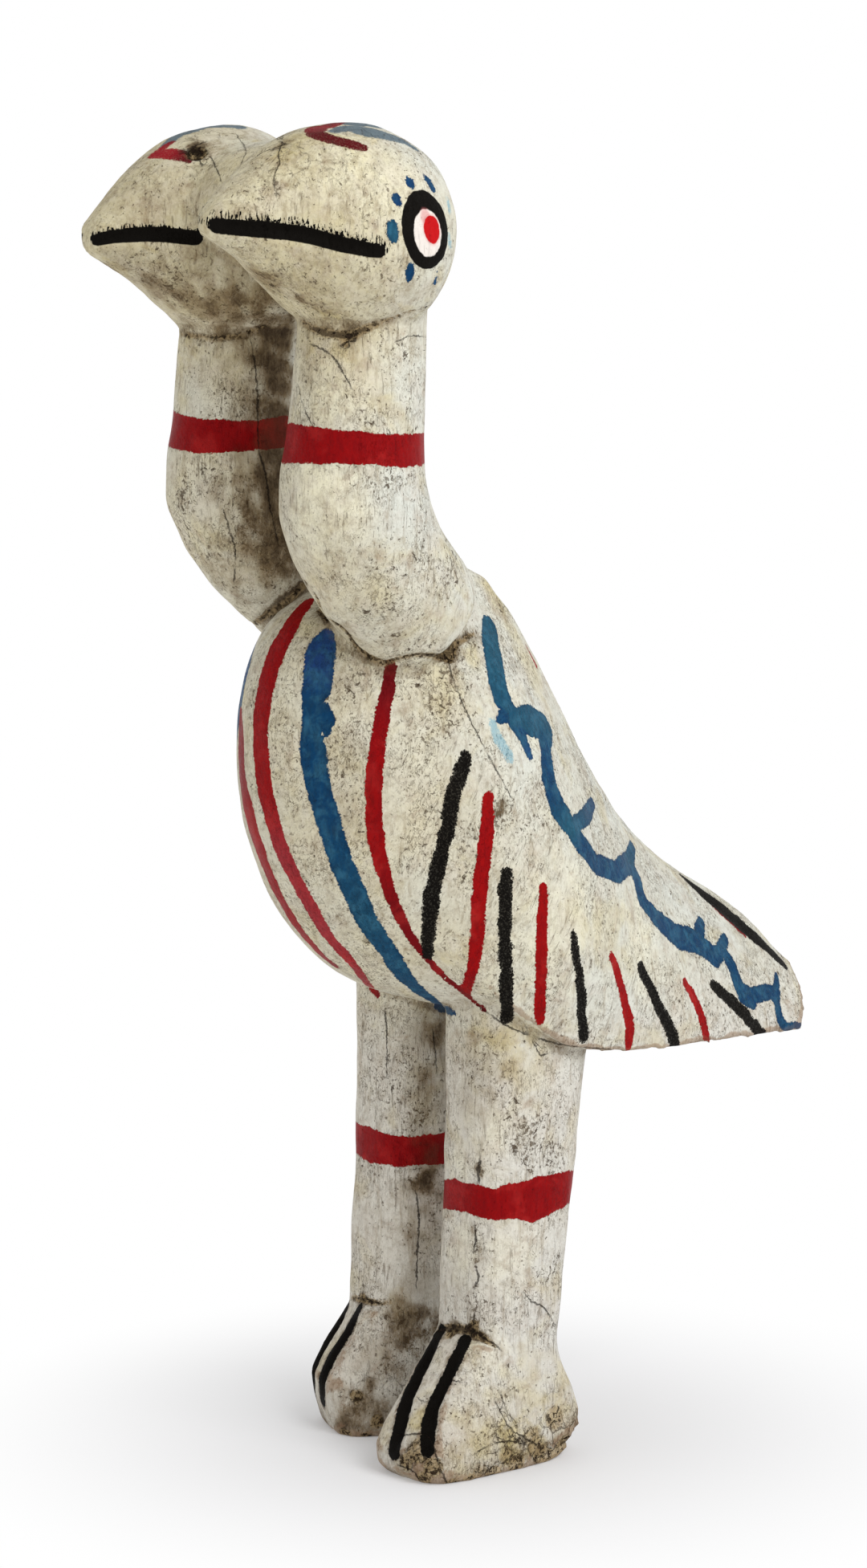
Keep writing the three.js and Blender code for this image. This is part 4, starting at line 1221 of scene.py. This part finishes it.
# The strokes: each colour varies with its own shade, with thick and thin paint, and where it is rubbed;
# the red's lighter patches are rubbed paint and painted sheen.
streaks = clouds(0.55, 4.0, 0.65, 0.0, (1, 1, 0.3))
thick_coat = between(streaks, 0.35, 0.68)
red_shade_here = stored("red_shade")
red_one_here, red_one_thick = stroke(stored("red_one"), 1.0, 0.22)
red_two_here, red_two_thick = stroke(stored("red_two"), 1.0, 0.22)
red_here = most(red_one_here, red_two_here)
red = lay_on(blend(between(red_shade_here, 0.0, 0.5), RED_WINE, RED_BRIGHT), [
    (between(red_shade_here, 0.62, 1.0), 1, RED_PINK),
    (thick_coat, 0.45, RED_THICK),
    # Lighter red patches: rubbed paint, and painted sheen.
    (between(clouds(0.065, 3.0, 0.6, 0.4), 0.50, 0.66), 0.32, RED_RUBBED_AND_SHEEN),
])
blue_shade_here = stored("blue_shade")
blue_here, blue_thick = stroke(stored("blue"), 1.1, 0.3)
blue_coat = lay_on(blend(between(blue_shade_here, 0.0, 0.35), BLUE_TEAL, BLUE_DEEP), [
    (between(blue_shade_here, 0.5, 1.0), 1, BLUE_BRIGHT),
    (between(clouds(0.14, 3.0, 0.6, 0.5), 0.40, 0.66), 0.50, BLUE_THIN),
    (thick_coat, 0.40, BLUE_THICK),
    (between(stored("blue"), -1.8, -0.2), 0.40, BLUE_RIM),
])
faint_here, _ = stroke(stored("faint_blue"), 1.5, 0.7, 0.95)
crown_blue_here, crown_blue_thick = stroke(stored("crown_blue"), 1.2, 0.8, 0.25)
crown_red_here, crown_red_thick = stroke(stored("crown_red"), 0.9, 0.4, 0.35)
brow = blend(between(stored("crown_red_shade"), 0.0, 0.7), BROW_DARK, BROW_RED)
dry_brush = stored("black_dry")
black_ragged = times_plus(dry_brush, 0.55, 0.8)
black_here, black_thick = stroke(stored("black"), black_ragged, 0.2, times(dry_brush, 0.18))

# The eye: rings by their distance from its middle.
eye_across, eye_up, _ = add_node("ShaderNodeSeparateXYZ", {0: stored("eye_uv", 1)}).outputs
eye_wobble = times_plus(clouds(0.28, 3.0, 0.6), 1.6, -0.8)


def ring(across, up):
    """The distance in mm from a point of the eye, with a hand-painted wobble."""
    sideways = reckon("SUBTRACT", eye_across, across)
    upward = reckon("SUBTRACT", eye_up, up)
    squares = reckon("ADD", times(sideways, sideways), times(upward, upward))
    return reckon("ADD", reckon("SQRT", squares), eye_wobble)


eye_black = between(ring(*BLACK_MIDDLE), *BLACK_RING)
eye_white = between(ring(*WHITE_MIDDLE), *WHITE_RING)
eye_pink = between(ring(*PINK_MIDDLE), *PINK_SMEAR)
eye_red = between(ring(*PUPIL_MIDDLE), *PUPIL)
eye_glow = between(ring(*PUPIL_MIDDLE), *PUPIL_GLOW)

# The mouth: its groove, and hairs of paint along its upper edge.
mouth_distance = stored("mouth")
mouth_here, mouth_thick = stroke(mouth_distance, 0.45, 0.25)
hair_length = times(between(clouds(1.1, 2.0, 0.6, 0.0, (1, 1, 0.18)), 0.44, 0.68), 4.0)
longer_on_left = times_plus(between(across_bird, *LEFT_HEAD), 0.55, 0.45)
hair_length = times(hair_length, longer_on_left)
hair_length = times(hair_length, between(stored("mouth_up"), -2.0, 1.5))
hairs = between(reckon("SUBTRACT", mouth_distance, hair_length), 0.35, -0.15)
mouth_here = most(mouth_here, hairs)
black_paint = most(mouth_here, black_here)
painted = most(red_here, blue_here, eye_white, eye_black)
bare = times(times_plus(painted, -0.78, 1), rest(black_paint))

# Grime and painted shade: a grainy brown film in everything that is shut in or hollow, near the creases
# and towards the soles, clots of it where it has gathered, and nearly black painted shade with soot deep
# between the necks and legs.
clots = clouds(0.30, 9.0, 0.78, 0.6, (1, 1, 0.55))
grit = clouds(0.65, 8.0, 0.8, 0.4, (1, 1, 0.6))
dirt_and_shade = times_plus(between(stored("shut_in"), 0.10, 0.50), 0.6, times(grime_and_shade, 0.72))
dirt_and_shade = times_plus(smoke_and_shade, 0.22, dirt_and_shade)
dirt_and_shade = reckon("ADD", dirt_and_shade, times(between(hollow_here, 0.06, 0.45), 0.35))
dirt_and_shade = reckon("ADD", dirt_and_shade, times(between(height, *SOLES), 0.30))
dirt_and_shade = times_plus(between(stored("crease"), 3.5, -1.0), 0.22, dirt_and_shade)
crease_line = times_plus(clots, 3.4, reckon("SUBTRACT", stored("crease"), 1.7))
crease_line = between(crease_line, -0.5, -1.2)
film_and_shade = times_plus(dirt_and_shade, 0.30, grit)
film_and_shade = times(between(film_and_shade, 0.42, 0.78), between(dirt_and_shade, 0.0, 0.75))
gathered_and_shaded = times_plus(dirt_and_shade, 0.42, times(clots, 1.15))
gathered_and_shaded = between(gathered_and_shaded, 0.80, 1.14)
dark_streaks = clouds(0.36, 8.0, 0.78, 0.3, (1, 1, 0.22))
soot_and_shade = times(between(dirt_and_shade, 0.60, 1.30), between(dark_streaks, 0.32, 0.62))
smoked_and_shaded = reckon("MULTIPLY", smoke_and_shade, times_plus(dark_streaks, 1.3, 0.25), clamp=True)
smoked_and_shaded = times(smoked_and_shaded, times_plus(black_paint, -1, 1))
edge_wear = times_plus(hollow_here, -0.8, times(clots, 0.9))
edge_wear = times(between(edge_wear, 0.92, 1.12), bare)
edge_wear = times(edge_wear, between(height, *WING_EDGES))
groove_dirt = times(between(stored("black"), 2.6, -0.2), rest(dry_brush))
groove_dirt = times(groove_dirt, between(clots, 0.40, 0.60))
groove_dirt = times(groove_dirt, bare)

# Where wood has crumbled away it is bare, yellow-brown and full of dark holes.
crumbled = times_plus(grit, 0.9, stored("carve_in"))
crumbled = times(between(crumbled, 0.75, 1.35), rest(black_paint))
holes = times_plus(grime_and_shade, 0.07, clouds(0.42, 6.0, 0.75, 0.5))
holes = times(crumbled, between(holes, 0.54, 0.61))

# Cracks, and a net of fine ones in the thick paint of the feet and crowns.
crack_width_here = stored("crack_width")
crack_wander = reckon("SUBTRACT", clouds(0.45, 6.0, 0.75), 0.5)
crack_line = times_plus(crack_wander, 3.2, stored("crack_side"))
crack_half = times(crack_width_here, times_plus(bright, 0.34, 0.08))
crack_line = reckon("SUBTRACT", reckon("ABSOLUTE", crack_line), crack_half)
crack_here = times(between(crack_line, 0.30, -0.10), stored("crack_near"))
crack_fade = times_plus(crack_width_here, 0.22, clouds(0.11, 4.0, 0.65))
crack_here = times(crack_here, between(crack_fade, 0.42, 0.70))
warp = add_node("ShaderNodeTexNoise", {"Vector": place, "Scale": 0.22, "Detail": 4.0}).outputs[1]
warp = add_node("ShaderNodeVectorMath", {0: warp, 3: 7.0}, operation="SCALE").outputs[0]
netted = add_node("ShaderNodeTexVoronoi", {
    "Vector": reckon_vector("ADD", place, warp),
    "Scale": 0.12,
}, feature="DISTANCE_TO_EDGE").outputs[0]
net_zone = times(between(height, *FEET), between(along_bird, *BEHIND_TOES))
net_zone = most(net_zone, times(between(height, *CROWNS), 0.55))
net_zone = times(net_zone, between(clouds(0.05, 2.0), 0.40, 0.58))
net = times(between(netted, 0.05, 0.008), net_zone)

# All the coats, from the first to the last.
colour = lay_on(ground, [
    (faint_here, 0.7, BLUE_FAINT),
    (crown_blue_here, 0.9, BLUE_GREY),
    (crown_red_here, 1, brow),
    (blue_here, 1, blue_coat),
    (red_here, 1, red),
    (black_here, 1, BLACK),
    (eye_black, 1, BLACK),
    (eye_white, 1, EYE_WHITE),
    (eye_pink, 0.55, EYE_PINK),
    (eye_glow, 0.35, EYE_PINK),
    (eye_red, 1, EYE_RED),
    (mouth_here, 1, BLACK),
])
# Painted shade and smoke stains, multiplied into the colour.
colour = lay_on(colour, [(smoked_and_shaded, 0.85, SMOKE_AND_SHADE_TINT)], "MULTIPLY")
# The film, the clots and the soot below are dirt and painted shade together.
colour = lay_on(colour, [
    (times(film_and_shade, bare), 0.80, GRIME_AND_SHADE_FILM),
    (times(gathered_and_shaded, bare), 0.82, GRIME_AND_SHADE_CLOT),
    (times(soot_and_shade, bare), 0.85, SOOT_AND_SHADE),
    (edge_wear, 0.6, BARE_WOOD),
    (groove_dirt, 0.7, GROOVE_DIRT),
    (crumbled, 0.65, CRUMBLED_WOOD),
    (holes, 1, DEEP_HOLE),
    (net, 0.7, FINE_CRACK),
    (crease_line, 0.75, CREASE_DIRT),
    (crack_here, 0.80, CRACK_DIRT),
])

# How the layers stand up, in mm, and how much they shine.
raised = 0.0
for layer, height_mm in (
    (patch, 0.50),
    (clouds(0.5, 5.0, 0.7), 0.42),
    (scratch, -0.16),
    (wriggle, -0.14),
    (specks, -0.16),
    (pits, -0.35),
    (gathered_and_shaded, -0.15),
    (net, -0.30),
    (crack_here, -0.70),
    (holes, -1.2),
    (crease_line, -0.5),
    (red_one_thick, 0.13),
    (red_two_thick, 0.13),
    (blue_thick, 0.13),
    (times(black_thick, dry_brush), 0.12),
    (mouth_thick, 0.10),
    (crown_red_thick, 0.10),
    (crown_blue_thick, 0.05),
    (eye_black, 0.12),
    (eye_white, 0.06),
    (eye_red, 0.10),
    (streaks, 0.06),
):
    raised = times_plus(layer, height_mm, raised)
bump = add_node("ShaderNodeBump", {"Strength": 1.0, "Distance": 1 / MM, "Height": raised})
shine = times_plus(painted, -0.18, times_plus(patch, 0.16, 0.50))
shine = times_plus(gathered_and_shaded, 0.22, shine, clamp=True)
surface = add_node("ShaderNodeBsdfPrincipled", {
    "Base Color": colour,
    "Roughness": shine,
    "Normal": bump.outputs[0],
    "Specular IOR Level": PAINT_GLOSS,
})
paint_tree.links.new(surface.outputs[0], paint_tree.nodes.new("ShaderNodeOutputMaterial").inputs[0])

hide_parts("carved_bird")
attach(carving, "root")


# The floor and the light
# A pale studio floor that fades into the white room, a soft main light from the camera's upper right
# and the room's own even light.
FLOOR_RADIUS = 6.0
FLOOR_SIDES = 96
FLOOR_GREY = (234, 234, 236)
FLOOR_ROUGHNESS = 0.7
FLOOR_GLOSS = 0.2
WHITE = (1, 1, 1, 1)
FLOOR_FADE = (0.03, 0.27)
FLOOR_GLOW = 0.12
ROOM_BEHIND = 1.0
ROOM_AROUND = 0.6
ROOM_FADE = (0.70, 0.93)
HORIZON_FADE = (0.26, 0.10)
MAIN_LIGHT_PLACE = Vector((1.6, 0.15, 1.65))
MAIN_LIGHT_SIZE = 1.3
MAIN_LIGHT_WATTS = 27
LIGHT_AIM = Vector((0, 0, 0.3))

floor_shell = bmesh.new()
bmesh.ops.create_circle(floor_shell, cap_ends=True, segments=FLOOR_SIDES, radius=FLOOR_RADIUS)
floor_mesh = bpy.data.meshes.new("floor")
floor_shell.to_mesh(floor_mesh)
floor_shell.free()
floor = bpy.data.objects.new("floor", floor_mesh)
bpy.context.scene.collection.objects.link(floor)
floor_paint = bpy.data.materials.new("floor")
floor_paint.use_nodes = True
floor_tree = floor_paint.node_tree
floor_tree.nodes.clear()
coordinates = floor_tree.nodes.new("ShaderNodeTexCoord").outputs["Object"]
far = add_node("ShaderNodeVectorMath", {0: coordinates}, operation="LENGTH").outputs[1]
matte = add_node("ShaderNodeBsdfPrincipled", {
    "Base Color": from_srgb(FLOOR_GREY),
    "Roughness": FLOOR_ROUGHNESS,
    "Specular IOR Level": FLOOR_GLOSS,
}, floor_tree)
glow = add_node("ShaderNodeEmission", {"Color": WHITE, "Strength": 1.0}, floor_tree)
fade = add_node("ShaderNodeMixShader", {
    0: times_plus(between(far, *FLOOR_FADE), 1 - FLOOR_GLOW, FLOOR_GLOW),
    1: matte.outputs[0],
    2: glow.outputs[0],
})
floor_tree.links.new(fade.outputs[0], floor_tree.nodes.new("ShaderNodeOutputMaterial").inputs[0])
floor_mesh.materials.append(floor_paint)

# The room is white behind the bird and along the horizon, and dimmer elsewhere.
room = bpy.data.worlds.new("room")
room.use_nodes = True
room_tree = room.node_tree
towards = room_tree.nodes.new("ShaderNodeTexCoord").outputs["Generated"]
behind = add_node("ShaderNodeVectorMath", {0: towards, 1: look}, operation="DOT_PRODUCT")
above_horizon = add_node("ShaderNodeSeparateXYZ", {0: towards}).outputs[2]
bright_behind = between(behind.outputs[1], *ROOM_FADE)
white = most(bright_behind, between(above_horizon, *HORIZON_FADE))
strength = times_plus(white, ROOM_BEHIND - ROOM_AROUND, ROOM_AROUND)
room_tree.links.new(strength, room_tree.nodes["Background"].inputs["Strength"])
room_tree.nodes["Background"].inputs["Color"].default_value = WHITE
bpy.context.scene.world = room

main_light = bpy.data.lights.new("main light", "AREA")
main_light.size = MAIN_LIGHT_SIZE
main_light.energy = MAIN_LIGHT_WATTS
main_lamp = bpy.data.objects.new("main light", main_light)
main_lamp.location = MAIN_LIGHT_PLACE
main_lamp.rotation_euler = (LIGHT_AIM - MAIN_LIGHT_PLACE).to_track_quat("-Z", "Y").to_euler()
bpy.context.scene.collection.objects.link(main_lamp)
bpy.context.scene.view_settings.view_transform = "Standard"
